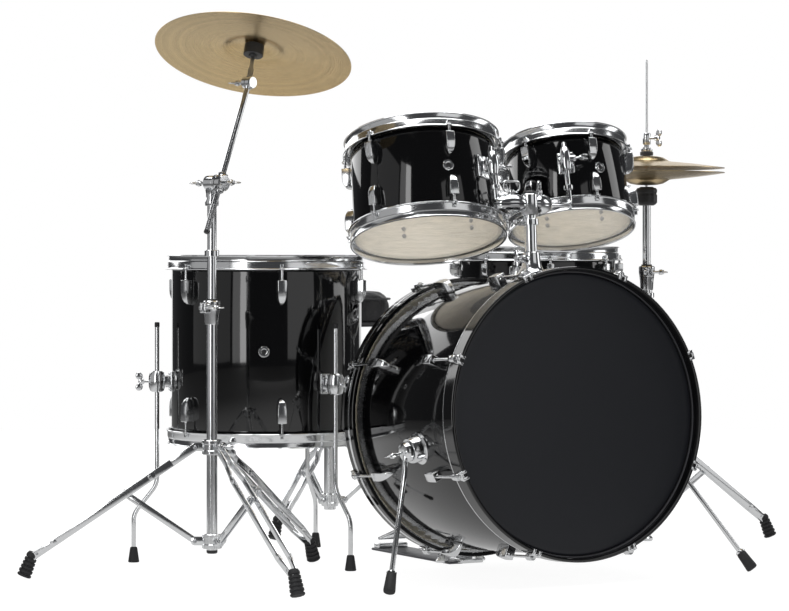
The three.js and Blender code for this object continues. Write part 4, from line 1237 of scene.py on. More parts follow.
def spread_tripod(column, angles, foot_radius, collar, bracket, inner):
    """A tripod that stays spread: collar, bracket, legs and braces."""
    pieces = ring_pieces(column, angles, collar, inner,
                         False) + ring_pieces(column, angles, bracket, inner, True)
    for angle in angles:
        line = leg_line(column, angle, foot_radius, collar, bracket)
        pieces += leg_pieces(line) + brace_pieces(line) + [rivet(line.pin, line.side, 16)]
    return pieces


# ------------------------------------------------------------------ cymbal stand and crash
STAND_COLUMN = Vector((*joint_point("boom_tilt").xy, 0))
STAND_ANGLES = (30, 150, 270)
STAND = dict(foot_radius=380, collar=266, bracket=77)


class DRUMKIT_OT_cymbal_stand(bpy.types.Operator):
    """Model the cymbal stand: folding tripod, tubes, height clamp, boom and tilters"""

    bl_idname = "drumkit.cymbal_stand"
    bl_label = "Cymbal Stand"

    def execute(self, context):
        chrome, at = FINISHES["chrome"], Matrix.Translation(STAND_COLUMN)
        base = tube(chrome, 58, 519, 11, 10)
        end = turned(FINISHES["plastic"], [(0, 52), (9, 52), (11.2, 54), (11.2, 59), (0, 59)], 28)
        bracket = ring_pieces(STAND_COLUMN, STAND_ANGLES, STAND["bracket"], 10.5, True)
        clamp = height_clamp(513, 561, 10, 17.5, 205)
        settled("cymbal_stand_lower_tube", "kit", "chrome",
                [moved(base, at), moved(end, at), *bracket, *(moved(piece, at) for piece in clamp)],
                "cymbal_stand_base_tube")
        collar = ring_pieces(STAND_COLUMN, STAND_ANGLES, STAND["collar"], 11.4, False)
        knob = moved(wing_screw(chrome, 24), at @ spun(-30) @ shift(17, 0, STAND["collar"]) @ spun(90, "Y"))
        settled("cymbal_stand_sliding_collar", "cymbal_stand_collar", "chrome", [*collar, knob],
                "cymbal_stand_leg_collar")
        for number, angle in enumerate(STAND_ANGLES, 1):
            line = leg_line(STAND_COLUMN, angle, STAND["foot_radius"], STAND["collar"], STAND["bracket"])
            settled(f"cymbal_stand_leg_strap_{number}", f"cymbal_stand_leg_{number}", "chrome",
                    [*leg_pieces(line), rivet(line.pin, line.side, 16)], f"cymbal_stand_leg_{number}")
            settled(f"cymbal_stand_brace_strap_{number}", f"cymbal_stand_brace_{number}", "chrome",
                    brace_pieces(line), f"cymbal_stand_brace_{number}")
        self.upper()
        return {"FINISHED"}

    def upper(self):
        """The upper tube with its tilter cheek, the boom clamp, the boom and the cymbal's tilter."""
        chrome = FINISHES["chrome"]
        top, side = joint_point("boom_tilt"), joint_axis("boom_tilt")
        along, pivot = joint_axis("boom_reach"), joint_point("cymbal_tilt")
        through = top + side * 24 * MM
        at = Matrix.Translation(STAND_COLUMN)
        pieces = [moved(tube(chrome, 300, 776, 9.5, 8.5), at)]
        memory = turned(chrome, [(9.6, 650), (14, 650), (15, 651), (15, 662), (14, 663), (9.6, 663)], 28,
                        closed=True)
        neck = turned(chrome, [(0, 752), (13, 752), (14, 754), (14, 762), (12, 766), (12, 776), (13.5, 784),
                               (0, 786)], 32)
        pieces += [moved(memory, at), moved(neck, at)]
        cheek = turned(chrome, [(0, -13), (13.4, -13), (15, -11.4), (15, 9), (14, 10.8), (0, 10.8)], 36)
        pieces.append(moved(cheek, standing(top, side)))
        screw = moved(wing_screw(chrome, 30), standing(top - side * 12 * MM, -side))
        settled("cymbal_stand_top_tube", "cymbal_stand_upper_tube", "chrome", [*pieces, screw],
                "cymbal_stand_upper_tube")
        drum = turned(chrome, [(0, 11.6), (15.4, 11.6), (17, 13.2), (17, 20), (15.8, 21), (15.8, 27),
                               (17, 28), (17, 34),
                               (15, 36), (0, 36)], 36)
        barrel = turned(chrome, [(6.1, -20), (9.4, -20), (11, -18.4), (11, 18.4), (9.4, 20), (6.1, 20)], 32,
                        closed=True)
        wing = moved(wing_screw(chrome, 24), standing(through + side * 11 * MM, side))
        settled("boom_clamp", "boom_tilter", "chrome",
                [moved(drum, standing(top, side)), moved(barrel, standing(through, along)), wing],
                "boom_tilter")
        low, high = through - along * 112 * MM, pivot - along * 16 * MM
        boom = rod(chrome, low, high, 5.5, steps=24)
        knurl = turned(FINISHES["alloy"], [(5.2, 2), (6, 2.6), (6, 60), (5.2, 60.6)], 40, closed=True)
        cap = turned(FINISHES["plastic"], [(0, -3), (4.6, -3), (6, -1.4), (6, 3.4), (0, 3.4)], 24)
        seat = standing(low, along)
        settled("boom_rod", "boom_arm", "chrome", [boom, moved(knurl, seat), moved(cap, seat)], "boom_arm")
        self.tilter(pivot, side, joint_axis("crash_spin"), along)

    def tilter(self, pivot, side, up, along):
        """The ratchet joint under the crash, its wing screw, the post, cup, felt and wing nut."""
        chrome, steel = FINISHES["chrome"], FINISHES["steel"]
        at = standing(pivot, up)
        ratchet = turned(chrome, [(0, -12), (11, -12), (13, -10), (13, -2), (12, -1), (12, 1), (13, 2),
                                  (13, 10),
                                  (11, 12), (0, 12)], 36)
        shoe = moved(turned(chrome, [(0, -16), (6.6, -16), (7.6, -12), (10, -2), (0, 0)], 28),
                     standing(pivot, along))
        screw = moved(wing_screw(chrome, 28), standing(pivot - side * 9 * MM, -side))
        post = turned(steel, [(0, 0), (5.8, 0), (5.8, 30), (4, 34), (4, 127), (3.2, 128), (0, 128)], 24)
        cup = turned(FINISHES["plastic"],
                     [(0, 57), (8, 57), (9, 60.6), (19.6, 61), (20.4, 61.8), (20.4, 82.8),
                                           (19.6, 83.6), (0, 83.6)], 40)
        felt = turned(FINISHES["dark_felt"],
                      [(4.2, 89.4), (14, 89.4), (15, 91), (15, 99), (13.6, 101), (4.2, 101)],
                      32, closed=True)
        nut = turned(chrome, [(4.1, 101.6), (9, 101.6), (9, 103.4), (6.4, 104.6), (6.4, 112), (4.1, 113)], 24,
                     closed=True)
        ears = [moved(egg(chrome, 7.4, 2.1, 6, 12, 8),
                      at @ spun(40) @ shift(edge * 10.6, 0, 112) @ spun(edge * -28, "Y"))
                for edge in (-1, 1)]
        settled("crash_tilter", "cymbal_tilter", "chrome",
                [moved(ratchet, standing(pivot, side)), shoe, screw,
                 *(moved(piece, at) for piece in (post, cup, felt, nut)), *ears], "cymbal_tilter")


def cymbal(finish, radius, height, bell, steps=128):
    """A thin cymbal on Z: bow, raised bell, rolled edge and centre hole."""
    top = [(radius - 0.3, 0.1), (radius * 0.9, height * 0.095), (radius * 0.75, height * 0.225),
           (radius * 0.62, height * 0.33), (radius * 0.45, height * 0.44), (bell * 1.12, height * 0.51),
           (bell, height * 0.55), (bell * 0.9, height * 0.67), (bell * 0.72, height * 0.86),
           (bell * 0.45, height * 0.965), (7, height)]
    under = [(distance, level - 1.3) for distance, level in reversed(top)]
    return turned(finish, [*under, (radius, -0.6), *top][::-1], steps, closed=True)


class DRUMKIT_OT_crash_cymbal(bpy.types.Operator):
    """Model the crash cymbal"""

    bl_idname = "drumkit.crash_cymbal"
    bl_label = "Crash Cymbal"

    def execute(self, context):
        crash = cymbal(FINISHES["crash"], 203.2, 26, 62)
        moved(crash, standing(joint_point("crash_spin"), joint_axis("crash_spin")))
        settled("crash_bronze_cymbal", "crash_cymbal", "cymbal", [crash], "crash_cymbal", smooth=50)
        return {"FINISHED"}


# ------------------------------------------------------------------ hi-hat
HAT_COLUMN = Vector((*box_centre("hihat_top_cymbal").xy, 0))
HAT_ANGLES = (-15.5, 104.5, 224.5)
HAT_PEDAL = 140


class DRUMKIT_OT_hihat(bpy.types.Operator):
    """Model the hi-hat: stand, seat, two cymbals, pull rod with its clutch, and footboard"""

    bl_idname = "drumkit.hihat"
    bl_label = "Hi-Hat"

    def execute(self, context):
        chrome, at = FINISHES["chrome"], Matrix.Translation(HAT_COLUMN)
        clamp = height_clamp(573, 628, 9.8, 18.5, 250)
        lower = tube(chrome, 150, 579, 12.7, 11.6)
        stub = tube(chrome, 40, 92, 12.7, 6)
        upper = tube(chrome, 620, 770, 9.5, 8)
        seat = turned(FINISHES["plastic"], [
            (5, 766), (16, 766), (21, 769), (24, 773), (24, 790), (22.5, 791.5), (22.5, 794), (24, 796),
            (24, 802),
            (21, 806), (10, 807.5), (5, 807.5)], 40, closed=True)
        felt = turned(FINISHES["dark_felt"], [(5, 806.5), (15, 806.5), (16, 807.2), (15, 808.6), (5, 808.6)],
                      32,
                      closed=True)
        memory = turned(chrome, [(12.8, 556), (16.6, 556), (17.4, 557), (17.4, 566), (16.6, 567),
                                 (12.8, 567)], 28,
                        closed=True)
        pieces = [moved(piece, at) for piece in (*clamp, lower, stub, upper, seat, felt, memory)]
        pieces += self.frame_pieces(at)
        pieces += spread_tripod(HAT_COLUMN, HAT_ANGLES, 300, 250, 72, 11)
        settled("hihat_stand", "kit", "chrome", pieces, "hihat_base")
        low, high = (cymbal(FINISHES["hats"], 177.8, 28, 52) for _ in range(2))
        settled("hihat_bottom_bronze", "kit", "cymbal", [moved(low, at @ shift(0, 0, 840) @ spun(180, "X"))],
                "hihat_bottom_cymbal", smooth=50)
        settled("hihat_top_bronze", "hihat_rod", "cymbal", [moved(high, at @ shift(0, 0, 851.5))],
                "hihat_top_cymbal", smooth=50)
        self.pull_rod(at)
        self.footboard(at)
        return {"FINISHED"}

    def frame_pieces(self, at):
        """The window round the pull rod, the spine to the floor and the heel plate."""
        chrome = FINISHES["chrome"]
        turn = at @ spun(HAT_PEDAL)
        pieces = []
        for edge in (-1, 1):
            pieces.append(moved(block(chrome, 16, 3, 122, 1.2), turn @ shift(0, edge * 12, 120)))
        pieces.append(moved(turned(chrome, [(0, 1), (12, 1), (14, 3), (14, 8), (10.5, 12), (9.5, 40),
                                            (12.7, 46), (0, 46)],
                                   32), at))
        pieces.append(moved(block(chrome, 318, 32, 4.6, 1.2), turn @ shift(158, 0, 5.5)))
        pieces.append(moved(block(chrome, 26, 60, 9, 2.4, 3), turn @ shift(305, 0, 9)))
        pieces.append(moved(block(FINISHES["rubber"], 24, 56, 2.6, 0.8), turn @ shift(305, 0, 3)))
        for edge in (-1, 1):
            pieces.append(moved(screw_head(chrome, 4, 3), turn @ shift(305, edge * 20, 13.4)))
        return pieces

    def pull_rod(self, at):
        """The rod and its clutch above the top cymbal."""
        chrome, steel, felt = FINISHES["chrome"], FINISHES["steel"], FINISHES["dark_felt"]
        level = 879.5
        bar = turned(chrome, [(0, 124), (2.4, 124), (3, 125), (3, 1094), (2, 1098), (0, 1098)], 20)
        clutch = [
            turned(steel, [(3.1, level - 22), (5.6, level - 22), (5.6, level + 26), (3.1, level + 26)], 24,
                   closed=True),
            turned(felt, [(5.8, level + 0.6), (14, level + 0.6), (15, level + 2), (15, level + 8),
                          (14, level + 9),
                          (5.8, level + 9)], 32, closed=True),
            turned(chrome, [(5.7, level + 9.4), (12.5, level + 9.4), (13.2, level + 10.4), (13.2, level + 15),
                            (9, level + 17), (9, level + 19), (5.7, level + 19)], 32, closed=True),
            turned(chrome, [(3.1, level + 25), (7.6, level + 25), (9, level + 27), (9, level + 50),
                            (7.6, level + 52),
                            (3.1, level + 52)], 32, closed=True),
            turned(chrome, [(5.7, level - 20), (9, level - 20), (10, level - 19), (10, level - 14),
                            (9, level - 13),
                            (5.7, level - 13)], 12, closed=True),
            turned(felt, [(5.8, level - 12.4), (12, level - 12.4), (13, level - 11), (13, level - 5),
                          (12, level - 4.4), (5.8, level - 4.4)], 32, closed=True),
        ]
        screw = moved(wing_screw(chrome, 24), at @ spun(-60) @ shift(7, 0, level + 40) @ spun(90, "Y"))
        settled("hihat_pull_rod", "hihat_rod", "chrome",
                [moved(bar, at), *(moved(piece, at) for piece in clutch), screw], "hihat_rod")

    def footboard(self, at):
        length = math.hypot(62, 243)
        rise = math.degrees(math.atan2(62, 243))
        heel = at @ spun(HAT_PEDAL + 180) @ shift(-305, 0, 16) @ spun(-rise, "Y")
        settled("hihat_pedal_board", "hihat_footboard", "chrome",
                pedal_board(heel, length, 76, 46, 7), "hihat_footboard")


def pedal_board(heel, length, heel_width, toe_width, thick):
    """A cast footboard: tapered plate, raised grip ribs, rounded toe stop and heel hinge pin."""
    chrome = FINISHES["chrome"]
    board = block(chrome, length, heel_width, thick - 1, 2, 3)
    edit()
    pick(lambda co: co.x > 0)
    bpy.ops.transform.resize(value=(1, toe_width / heel_width, 1))
    leave()
    pieces = [moved(board, heel @ shift(length / 2, 0, thick / 2 - 0.5))]
    for i in range(9):
        x = length * (0.2 + 0.075 * i)
        wide = heel_width + (toe_width - heel_width) * x / length - 20
        rib = block(FINISHES["rubber"], 6, wide, 2, 0.7)
        pieces.append(moved(rib, heel @ shift(x, 0, thick - 0.4)))
    stop = block(chrome, 8, toe_width * 0.8, 9, 2.4, 3)
    pieces.append(moved(stop, heel @ shift(length - 5, 0, thick + 1.6)))
    pin = turned(FINISHES["steel"],
                 [(0, -heel_width / 2), (2.8, -heel_width / 2), (3.4, 0.8 - heel_width / 2),
                                     (3.4, heel_width / 2 - 0.8), (2.8, heel_width / 2),
                                     (0, heel_width / 2)], 16)
    pieces.append(moved(pin, heel @ shift(5, 0, 2.6) @ spun(90, "X")))
    return pieces


# ------------------------------------------------------------------ snare drum and stand
class DRUMKIT_OT_snare_drum(bpy.types.Operator):
    """Model the snare drum: shell, heads, hoops, lugs, strainer, lever, butt plate and wires"""

    bl_idname = "drumkit.snare_drum"
    bl_label = "Snare Drum"

    def execute(self, context):
        chrome, steel = FINISHES["chrome"], FINISHES["steel"]
        drum, place = steel_drum("snare", "snare_basket", context.scene.drum_kit_sizes, "coated", "clear",
                                 -112)
        radius, half = drum["radius"], drum["half"]
        side = place @ spun(225) @ shift(radius, 0, 2)
        case = block(chrome, 13, 34, 58, 3, 3)
        foot = block(chrome, 10, 24, 10, 2, 2)
        knob = turned(chrome, [(0, 0), (5, 0), (5, 3), (8, 4), (8, 12), (7, 13.4), (0, 14)], 20)
        settled("snare_strainer", "snare_basket", "chrome", [
            moved(case, side @ shift(6.2, 0, 0)), moved(foot, side @ shift(5, 0, -33)),
            moved(knob, side @ shift(7, 0, 29))])
        lever = block(chrome, 5, 12, 56, 2, 3)
        grip = rounded(block(FINISHES["plastic"], 12, 17, 11, 3, 2), 1)
        pin = moved(screw_head(steel, 4, 3), spun(90, "Y") @ shift(0, 0, 2.5))
        settled("snare_throw_off", "snare_strainer_lever", "chrome", [
            moved(lever, side @ shift(16, 0, 6)), moved(grip, side @ shift(20, 0, 32)),
            moved(pin, side @ shift(16, 0, -20))], "snare_strainer_lever")
        butt = block(chrome, 11, 32, 30, 2.6, 3)
        across = place @ spun(45) @ shift(radius, 0, -24)
        bolts = [moved(screw_head(steel, 3.4, 2.6),
                       across @ shift(10.6, edge * 9, 0) @ spun(90, "Y")) for edge in (-1, 1)]
        settled("snare_butt_plate", "snare_basket", "chrome",
                [moved(butt, across @ shift(5.4, 0, 0)), *bolts])
        low = -half - 2.2
        line = place @ spun(45)
        wires = []
        wire = rod(steel, Vector((-150, 0, low)) * MM, Vector((150, 0, low)) * MM, 0.9, steps=6, chamfer=0.1)
        wires += repeated(wire, [line @ shift(0, y * 2.6, 0) for y in range(-8, 9)])
        for end in (-1, 1):
            wires.append(moved(block(steel, 14, 46, 2.4, 0.8), line @ shift(end * 154, 0, low)))
            wires.append(moved(block(FINISHES["plastic"], 22, 24, 0.7, 0.2),
                               line @ shift(end * 168, 0, low + 0.9)))
        settled("snare_wires", "snare_basket", "steel", wires)
        return {"FINISHED"}


SNARE_COLUMN = Vector((*box_centre("snare_batter_head").xy, 0))
SNARE_ANGLES = (-20, 100, 220)


class DRUMKIT_OT_snare_stand(bpy.types.Operator):
    """Model the snare stand: tripod, tube, clamp, hub and the basket's three arms"""

    bl_idname = "drumkit.snare_stand"
    bl_label = "Snare Stand"

    def execute(self, context):
        chrome, rubber, at = FINISHES["chrome"], FINISHES["rubber"], Matrix.Translation(SNARE_COLUMN)
        base = [tube(chrome, 36, 306, 11, 10), *height_clamp(300, 340, 10, 17.5, 280)]
        pieces = [moved(piece, at) for piece in base]
        pieces += spread_tripod(SNARE_COLUMN, SNARE_ANGLES, 200, 210, 70, 10.5)
        settled("snare_stand_tripod", "kit", "chrome", pieces, "snare_stand_base")
        drum = STEEL_DRUMS["snare"]
        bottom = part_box("snare_bottom_hoop")[0].z / MM
        hub = turned(chrome, [(0, 452), (18, 452), (22, 456), (22, 468), (19, 472), (19, 478), (22, 481),
                              (20, 484),
                              (0, 485)], 36)
        basket = [moved(tube(chrome, 150, 470, 9.5, 8.5), at), moved(hub, at)]
        basket.append(moved(wing_screw(chrome, 24), at @ spun(200) @ shift(19, 0, 462) @ spun(90, "Y")))
        reach = drum["radius"] + 22
        for angle in (20, 140, 260):
            side = polar(1000, angle + 90, 0)
            elbow = SNARE_COLUMN + polar(reach + 2, angle, bottom - 12)
            start = SNARE_COLUMN + polar(12, angle, 470)
            basket.append(strap(chrome, start, elbow, 13, 8, side, 1.2))
            basket.append(strap(chrome, elbow, SNARE_COLUMN + polar(reach + 2, angle, bottom + 15), 8, 12,
                                side, 1.2))
            turn = at @ spun(angle)
            basket.append(moved(block(rubber, 26, 16, 7.6, 2, 3), turn @ shift(reach - 10, 0, bottom - 5.1)))
            basket.append(moved(block(rubber, 6, 16, 22, 1.6, 3), turn @ shift(reach + 1.6, 0, bottom + 9)))
        settled("snare_stand_basket", "snare_basket", "chrome", basket, "snare_basket")
        return {"FINISHED"}


# ------------------------------------------------------------------ throne
THRONE_COLUMN = Vector((*joint_point("throne_seat_spin").xy, 0))
THRONE_ANGLES = (90, 210, 330)
SEAT_TOP = 570
SEAT_LOW = 487


class DRUMKIT_OT_throne(bpy.types.Operator):
    """Model the throne: tripod, post, seat board, padded round seat and piping"""

    bl_idname = "drumkit.throne"
    bl_label = "Throne"

    def execute(self, context):
        chrome, at = FINISHES["chrome"], Matrix.Translation(THRONE_COLUMN)
        base = [tube(chrome, 54, 336, 14, 12), *height_clamp(330, 372, 11.4, 20.5, 150)]
        pieces = [moved(piece, at) for piece in base]
        pieces += spread_tripod(THRONE_COLUMN, THRONE_ANGLES, 240, 215, 77, 13.5)
        settled("throne_tripod", "kit", "chrome", pieces, "throne_base")
        post = turned(chrome, [(0, 160), (10, 160), (11, 161), (11, 464), (15, 468), (19, 469), (20, 470),
                               (20, 476),
                               (19, 478), (0, 478)], 32)
        threads = turned(FINISHES["steel"], [(11.1, 428), (12.6, 428), (13.2, 429), (13.2, 438), (12.6, 439),
                                             (11.1, 439)], 28, closed=True)
        settled("throne_column", "throne_post", "chrome", [moved(post, at), moved(threads, at)],
                "throne_post")
        self.seat(context, at)
        return {"FINISHED"}

    def seat(self, context, at):
        """The board and swivel plate under the seat, the stuffed pad and its two rows of piping."""
        board = turned(FINISHES["plastic"], [(0, SEAT_LOW - 1), (132, SEAT_LOW - 1), (136, SEAT_LOW + 1),
                                             (137, SEAT_LOW + 6), (0, SEAT_LOW + 6)], 72)
        swivel = turned(FINISHES["dark_steel"], [(0, SEAT_LOW - 8), (56, SEAT_LOW - 8), (60, SEAT_LOW - 6),
                                                 (60, SEAT_LOW - 1), (0, SEAT_LOW - 1)], 48)
        bolts = [moved(screw_head(FINISHES["steel"], 4.4, 3.2), spun(90 * i + 45) @ shift(44, 0, SEAT_LOW - 8)
                       @ spun(180, "X")) for i in range(4)]
        settled("throne_seat_board", "throne_seat", "steel",
                [moved(piece, at) for piece in (board, swivel, *bolts)])
        pad = turned(FINISHES["vinyl"], [
            (0, SEAT_LOW + 4), (60, SEAT_LOW + 3), (126, SEAT_LOW + 3), (136, SEAT_LOW + 5),
            (139.5, SEAT_LOW + 12),
            (140, SEAT_LOW + 30), (140, SEAT_TOP - 30), (139, SEAT_TOP - 19), (133, SEAT_TOP - 11),
            (118, SEAT_TOP - 7), (80, SEAT_TOP - 5), (40, SEAT_TOP - 4.4), (0, SEAT_TOP - 4.2)], 72)
        moved(pad, at)
        stuff(pad, context.scene.drum_kit_sizes.seat_crown)
        rounded(pad, 1)
        settled("throne_padded_seat", "throne_seat", "vinyl", [pad], "throne_seat", smooth=60)
        rings = []
        for height, radius in ((SEAT_LOW + 7, 140.6), (SEAT_TOP - 20, 141.6)):
            rings.append(turned(FINISHES["piping"], [(radius - 2.6, height - 2), (radius + 0.2, height - 2.4),
                                                     (radius + 2, height), (radius + 0.2, height + 2.4),
                                                     (radius - 2.6, height + 2)], 96, closed=True))
        settled("throne_seat_piping", "throne_seat", "vinyl", [moved(ring, at) for ring in rings], smooth=80)


def stuff(pad, most):
    """Swells a pad as stuffing does, with cloth under pressure, and caps how far a point may go."""
    applied(pad, "REMESH", mode="VOXEL", voxel_size=6 * MM)
    rest = [vertex.co.copy() for vertex in pad.data.vertices]
    cloth = pad.modifiers.new("Stuffing", "CLOTH")
    cloth.settings.use_pressure = True
    cloth.settings.uniform_pressure_force = 4
    cloth.settings.effector_weights.gravity = 0
    cloth.settings.quality = 5
    scene = bpy.context.scene
    scene.frame_start, scene.frame_end = 1, 20
    for step in range(1, 21):
        scene.frame_set(step)
    clear_selection()
    pad.select_set(True)
    bpy.context.view_layer.objects.active = pad
    bpy.ops.object.modifier_apply(modifier=cloth.name)
    scene.frame_set(1)
    for vertex, start in zip(pad.data.vertices, rest):
        step = vertex.co - start
        if step.length > most:
            step.length = most
        vertex.co = start + step


# ------------------------------------------------------------------ kick pedal
AXLE = joint_point("kick_beater_swing")
HEEL = joint_point("kick_footboard_press")


class DRUMKIT_OT_kick_pedal(bpy.types.Operator):
    """Model the kick pedal: floor plate, posts, hoop clamp, footboard, cam and felt beater"""

    bl_idname = "drumkit.kick_pedal"
    bl_label = "Kick Pedal"

    def execute(self, context):
        self.frame_piece()
        toe = Vector((HEEL.x, AXLE.y + 22 * MM, 112 * MM))
        rise = math.degrees(math.atan2(toe.z - HEEL.z, HEEL.y - toe.y))
        length = (toe - HEEL).length / MM
        heel = Matrix.Translation(HEEL) @ spun(-90) @ spun(-rise, "Y")
        settled("kick_pedal_board", "pedal_footboard", "chrome", pedal_board(heel, length, 72, 58, 7),
                "pedal_footboard")
        self.beater()
        return {"FINISHED"}

    def frame_piece(self):
        chrome, dark = FINISHES["chrome"], FINISHES["dark_steel"]
        floor = Matrix.Translation(Vector((AXLE.x, AXLE.y, 0)))
        long = (HEEL.y - AXLE.y) / MM + 20 + 24
        pieces = [moved(block(dark, 84, long, 5.4, 2, 3), floor @ shift(0, long / 2 - 24, 3))]
        pieces.append(moved(block(chrome, 74, 24, 12, 3, 3),
                            floor @ shift(0, (HEEL.y - AXLE.y) / MM + 6, 10)))
        pieces.append(moved(block(chrome, 50, 58, 9, 2, 3), floor @ shift(0, -24, 8.5)))
        pieces.append(moved(block(chrome, 44, 30, 34, 3, 3), floor @ shift(0, -1, 20)))
        pieces.append(moved(block(chrome, 30, 26, 6, 2, 3), floor @ shift(0, -24, 34)))
        pieces.append(moved(wing_screw(chrome, 26), floor @ shift(0, -12, 36)))
        for edge in (-1, 1):
            post = turned(chrome, [(0, 3), (13, 3), (13, 7), (9, 12), (7, 24), (6.2, 90), (6.6, 160),
                                   (0, 160)], 32)
            pieces.append(moved(post, floor @ shift(edge * 46, 0, 0)))
            housing = turned(chrome, [(6.6, -4.4), (12, -4.4), (13.4, -3), (13.4, 3), (12, 4.4), (6.6, 4.4)],
                             32,
                             closed=True)
            pieces.append(moved(housing, floor @ shift(edge * 46, 0, AXLE.z / MM) @ spun(90, "Y")))
            neck = block(chrome, 8, 14, 22, 2, 3)
            pieces.append(moved(neck, floor @ shift(edge * 46, 0, 163)))
            pieces.append(moved(screw_head(chrome, 4, 3), floor @ shift(edge * 30, long - 34, 5.6)))
        spring = coil(FINISHES["steel"], 5.4, 1.1, 14, 84)
        pieces.append(moved(spring, floor @ shift(61, 0, 70)))
        for low in (62, 154):
            pieces.append(moved(block(chrome, 18, 9, 7, 1.6), floor @ shift(56, 0, low + 3)))
        settled("kick_pedal_frame", "kit", "chrome", pieces, "pedal_frame")

    def beater(self):
        """The axle with its cam, the shaft leaning back from the head, and the felt beater."""
        chrome = FINISHES["chrome"]
        lean, across = Vector((0, 1, 1)).normalized(), Vector((0, -1, 1)).normalized()
        head = AXLE + lean * 176 * MM
        bar = rod(FINISHES["steel"], AXLE - X_AXIS * 48 * MM, AXLE + X_AXIS * 48 * MM, 5.6)
        cam = turned(chrome, [(0, -11), (16, -11), (17, -10), (17, -6), (13, -5), (13, 5), (17, 6), (17, 10),
                              (16, 11),
                              (0, 11)], 36)
        grip = block(chrome, 13, 14, 26, 2.4, 3)
        shaft = rod(chrome, AXLE, head + lean * 8 * MM, 4.2)
        drum = turned(FINISHES["felt"],
                      [(0, -38), (21, -38), (23.4, -36), (24, -33), (24, 12), (23, 16), (19, 18),
                                         (0, 18)], 48)
        back = turned(FINISHES["plastic"], [(0, -40), (12, -40), (13, -38), (0, -37)], 28)
        collar = turned(chrome, [(4.3, -12), (8, -12), (8, 10), (4.3, 10)], 24, closed=True)
        wing = moved(wing_screw(chrome, 20), Matrix.Translation(AXLE + X_AXIS * 17 * MM) @ spun(90, "Y"))
        face = standing(head, -across)
        settled("kick_beater", "pedal_beater", "chrome", [
            bar, moved(cam, standing(AXLE, X_AXIS)), moved(grip, standing(AXLE + lean * 14 * MM, lean)),
            shaft,
            moved(drum, face), moved(back, face), moved(collar, standing(head - lean * 32 * MM, lean)), wing],
            "pedal_beater")


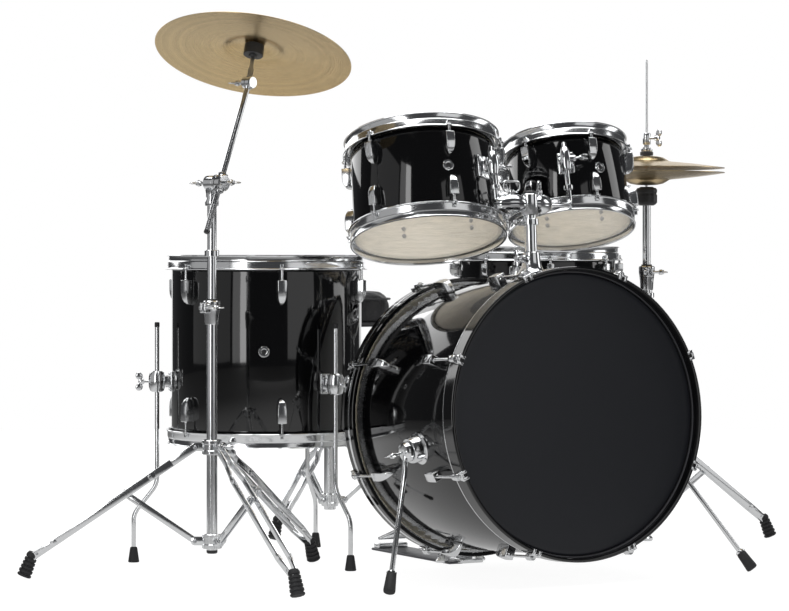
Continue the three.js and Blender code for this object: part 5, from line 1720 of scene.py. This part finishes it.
# ------------------------------------------------------------------ stage
class DRUMKIT_OT_stage(bpy.types.Operator):
    """Set up the pale floor, the soft studio light and the camera"""

    bl_idname = "drumkit.stage"
    bl_label = "Stage"

    def execute(self, context):
        floor = self.floor(context)
        context.scene.view_settings.view_transform = "Standard"
        self.world(context.scene)
        for light in (("left_strip", (-146, 5.2, 2.1), (0.7, 4.1), 4.2),
                      ("left_glow", (-154.3, 5.2, 2.1), (0.8, 4.1), 1.1),
                      ("left_wall", (-187, 5.2, 2.1), (5.0, 4.1), 0.3),
                      ("right_panel", (-20, 5.0, 2.1), (1.8, 4.1), 1.8),
                      ("front_panel", (-78, 5.2, 1.8), (3.2, 3.4), 0.6),
                      ("back_panel", (100, 5.0, 2.6), (4.0, 2.6), 1.8),
                      ("back_wall", (61, 5.4, 1.5), (5.0, 3.0), 1.0),
                      ("top_softbox", (0, 0, 4.4), (5.0, 4.0), 3.2),
                      ("low_fill", (-112, 2.7, 0.3), (2.4, 1.2), 6.5, False)):
            self.softbox(*light)
        self.camera(context)
        return {"FINISHED"}

    def floor(self, context):
        clear_selection()
        bpy.ops.mesh.primitive_circle_add(vertices=96, radius=FLOOR_RADIUS, fill_type="NGON")
        floor = context.object
        floor.name = "studio_floor"
        ground = Finish("floor_paper", Specular_IOR_Level=0.15)
        ground.set("Base Color", ground.mix(ground.noise(2, 2),
                                            tuple(c * 0.985 for c in context.scene.drum_kit_colours.floor),
                                          tuple(context.scene.drum_kit_colours.floor)))
        ground.set("Roughness", 0.75)
        away = ground.node("ShaderNodeVectorMath", {"operation": "LENGTH"}, {0: ground.place()},
                           output="Value")
        # Emission: plain white where the camera looks, a little brighter towards the edge. For reflections
        # and bounce light it is a painted pool of glow round the kit, fading out between 1.0 and 2.1 m.
        seen = ground.mix(ground.ramp(away, 0.9, 3.6), (0.93, 0.93, 0.93), (1.1, 1.1, 1.1))
        painted_floor_glow = ground.mix(ground.ramp(away, 1.0, 2.1), (0.5, 0.5, 0.5), (0.02, 0.02, 0.02))
        eye = ground.node("ShaderNodeLightPath", output="Is Camera Ray")
        ground.set("Emission Color", ground.mix(eye, painted_floor_glow, seen))
        ground.set("Emission Strength", 1.0)
        floor.data.materials.append(ground.material)
        return floor

    def world(self, scene):
        """A white room to look at, with a dimmer grey one for the light and the reflections."""
        world = bpy.data.worlds.new("studio")
        scene.world = world
        world.use_nodes = True
        nodes, links = world.node_tree.nodes, world.node_tree.links
        plain, seen = nodes["Background"], nodes.new("ShaderNodeBackground")
        plain.inputs["Color"].default_value = (0.93, 0.95, 1, 1)
        plain.inputs["Strength"].default_value = 0.05
        seen.inputs["Color"].default_value = (1, 1, 1, 1)
        seen.inputs["Strength"].default_value = 1.0
        path, mix = nodes.new("ShaderNodeLightPath"), nodes.new("ShaderNodeMixShader")
        links.new(path.outputs["Is Camera Ray"], mix.inputs[0])
        links.new(plain.outputs[0], mix.inputs[1])
        links.new(seen.outputs[0], mix.inputs[2])
        links.new(mix.outputs[0], nodes["World Output"].inputs["Surface"])

    def softbox(self, name, place, size, glow, mirrored=True):
        angle, distance, height = place
        lamp = bpy.data.lights.new(name, "AREA")
        lamp.shape = "RECTANGLE"
        lamp.size, lamp.size_y = size
        lamp.energy = math.pi * glow * size[0] * size[1]
        holder = bpy.data.objects.new(name, lamp)
        bpy.context.scene.collection.objects.link(holder)
        holder.location = polar(distance / MM, angle, height / MM)
        holder.visible_camera, holder.visible_glossy = False, mirrored
        aim = Vector((0, 0, max(height, 1) if distance else 0)) - holder.location
        holder.rotation_euler = aim.to_track_quat("-Z", "Y").to_euler()

    def camera(self, context):
        bpy.ops.object.camera_add(location=CAMERA_PLACE,
                                  rotation=[math.radians(turn) for turn in CAMERA_TURN])
        camera = context.object
        camera.data.sensor_width = 36
        camera.data.lens = CAMERA_LENS
        camera.data.shift_y = CAMERA_SHIFT
        context.scene.camera = camera


# ------------------------------------------------------------------ sidebar and registration
OPERATORS = (DRUMKIT_OT_bass_drum, DRUMKIT_OT_spurs, DRUMKIT_OT_tom_holder, DRUMKIT_OT_rack_toms,
             DRUMKIT_OT_floor_tom, DRUMKIT_OT_cymbal_stand, DRUMKIT_OT_crash_cymbal, DRUMKIT_OT_hihat,
             DRUMKIT_OT_snare_drum, DRUMKIT_OT_snare_stand, DRUMKIT_OT_throne, DRUMKIT_OT_kick_pedal,
             DRUMKIT_OT_stage)


class DRUMKIT_PT_sidebar(bpy.types.Panel):
    bl_idname = "DRUMKIT_PT_sidebar"
    bl_label = "Drum Kit"
    bl_space_type = "VIEW_3D"
    bl_region_type = "UI"
    bl_category = "Drum Kit"

    def draw(self, context):
        for operator in OPERATORS:
            self.layout.operator(operator.bl_idname)
        for settings in (context.scene.drum_kit_sizes, context.scene.drum_kit_colours):
            box = self.layout.box()
            for name in settings.__annotations__:
                box.prop(settings, name)


CLASSES = (DrumKitSizes, DrumKitColours, *OPERATORS, DRUMKIT_PT_sidebar)


def register():
    for item in CLASSES:
        bpy.utils.register_class(item)
    bpy.types.Scene.drum_kit_sizes = bpy.props.PointerProperty(type=DrumKitSizes)
    bpy.types.Scene.drum_kit_colours = bpy.props.PointerProperty(type=DrumKitColours)


def unregister():
    del bpy.types.Scene.drum_kit_colours, bpy.types.Scene.drum_kit_sizes
    for item in reversed(CLASSES):
        bpy.utils.unregister_class(item)


def main():
    register()
    make_finishes(bpy.context.scene.drum_kit_colours)
    for operator in OPERATORS:
        group, name = operator.bl_idname.split(".")
        getattr(getattr(bpy.ops, group), name)()


if __name__ == "__main__":
    main()
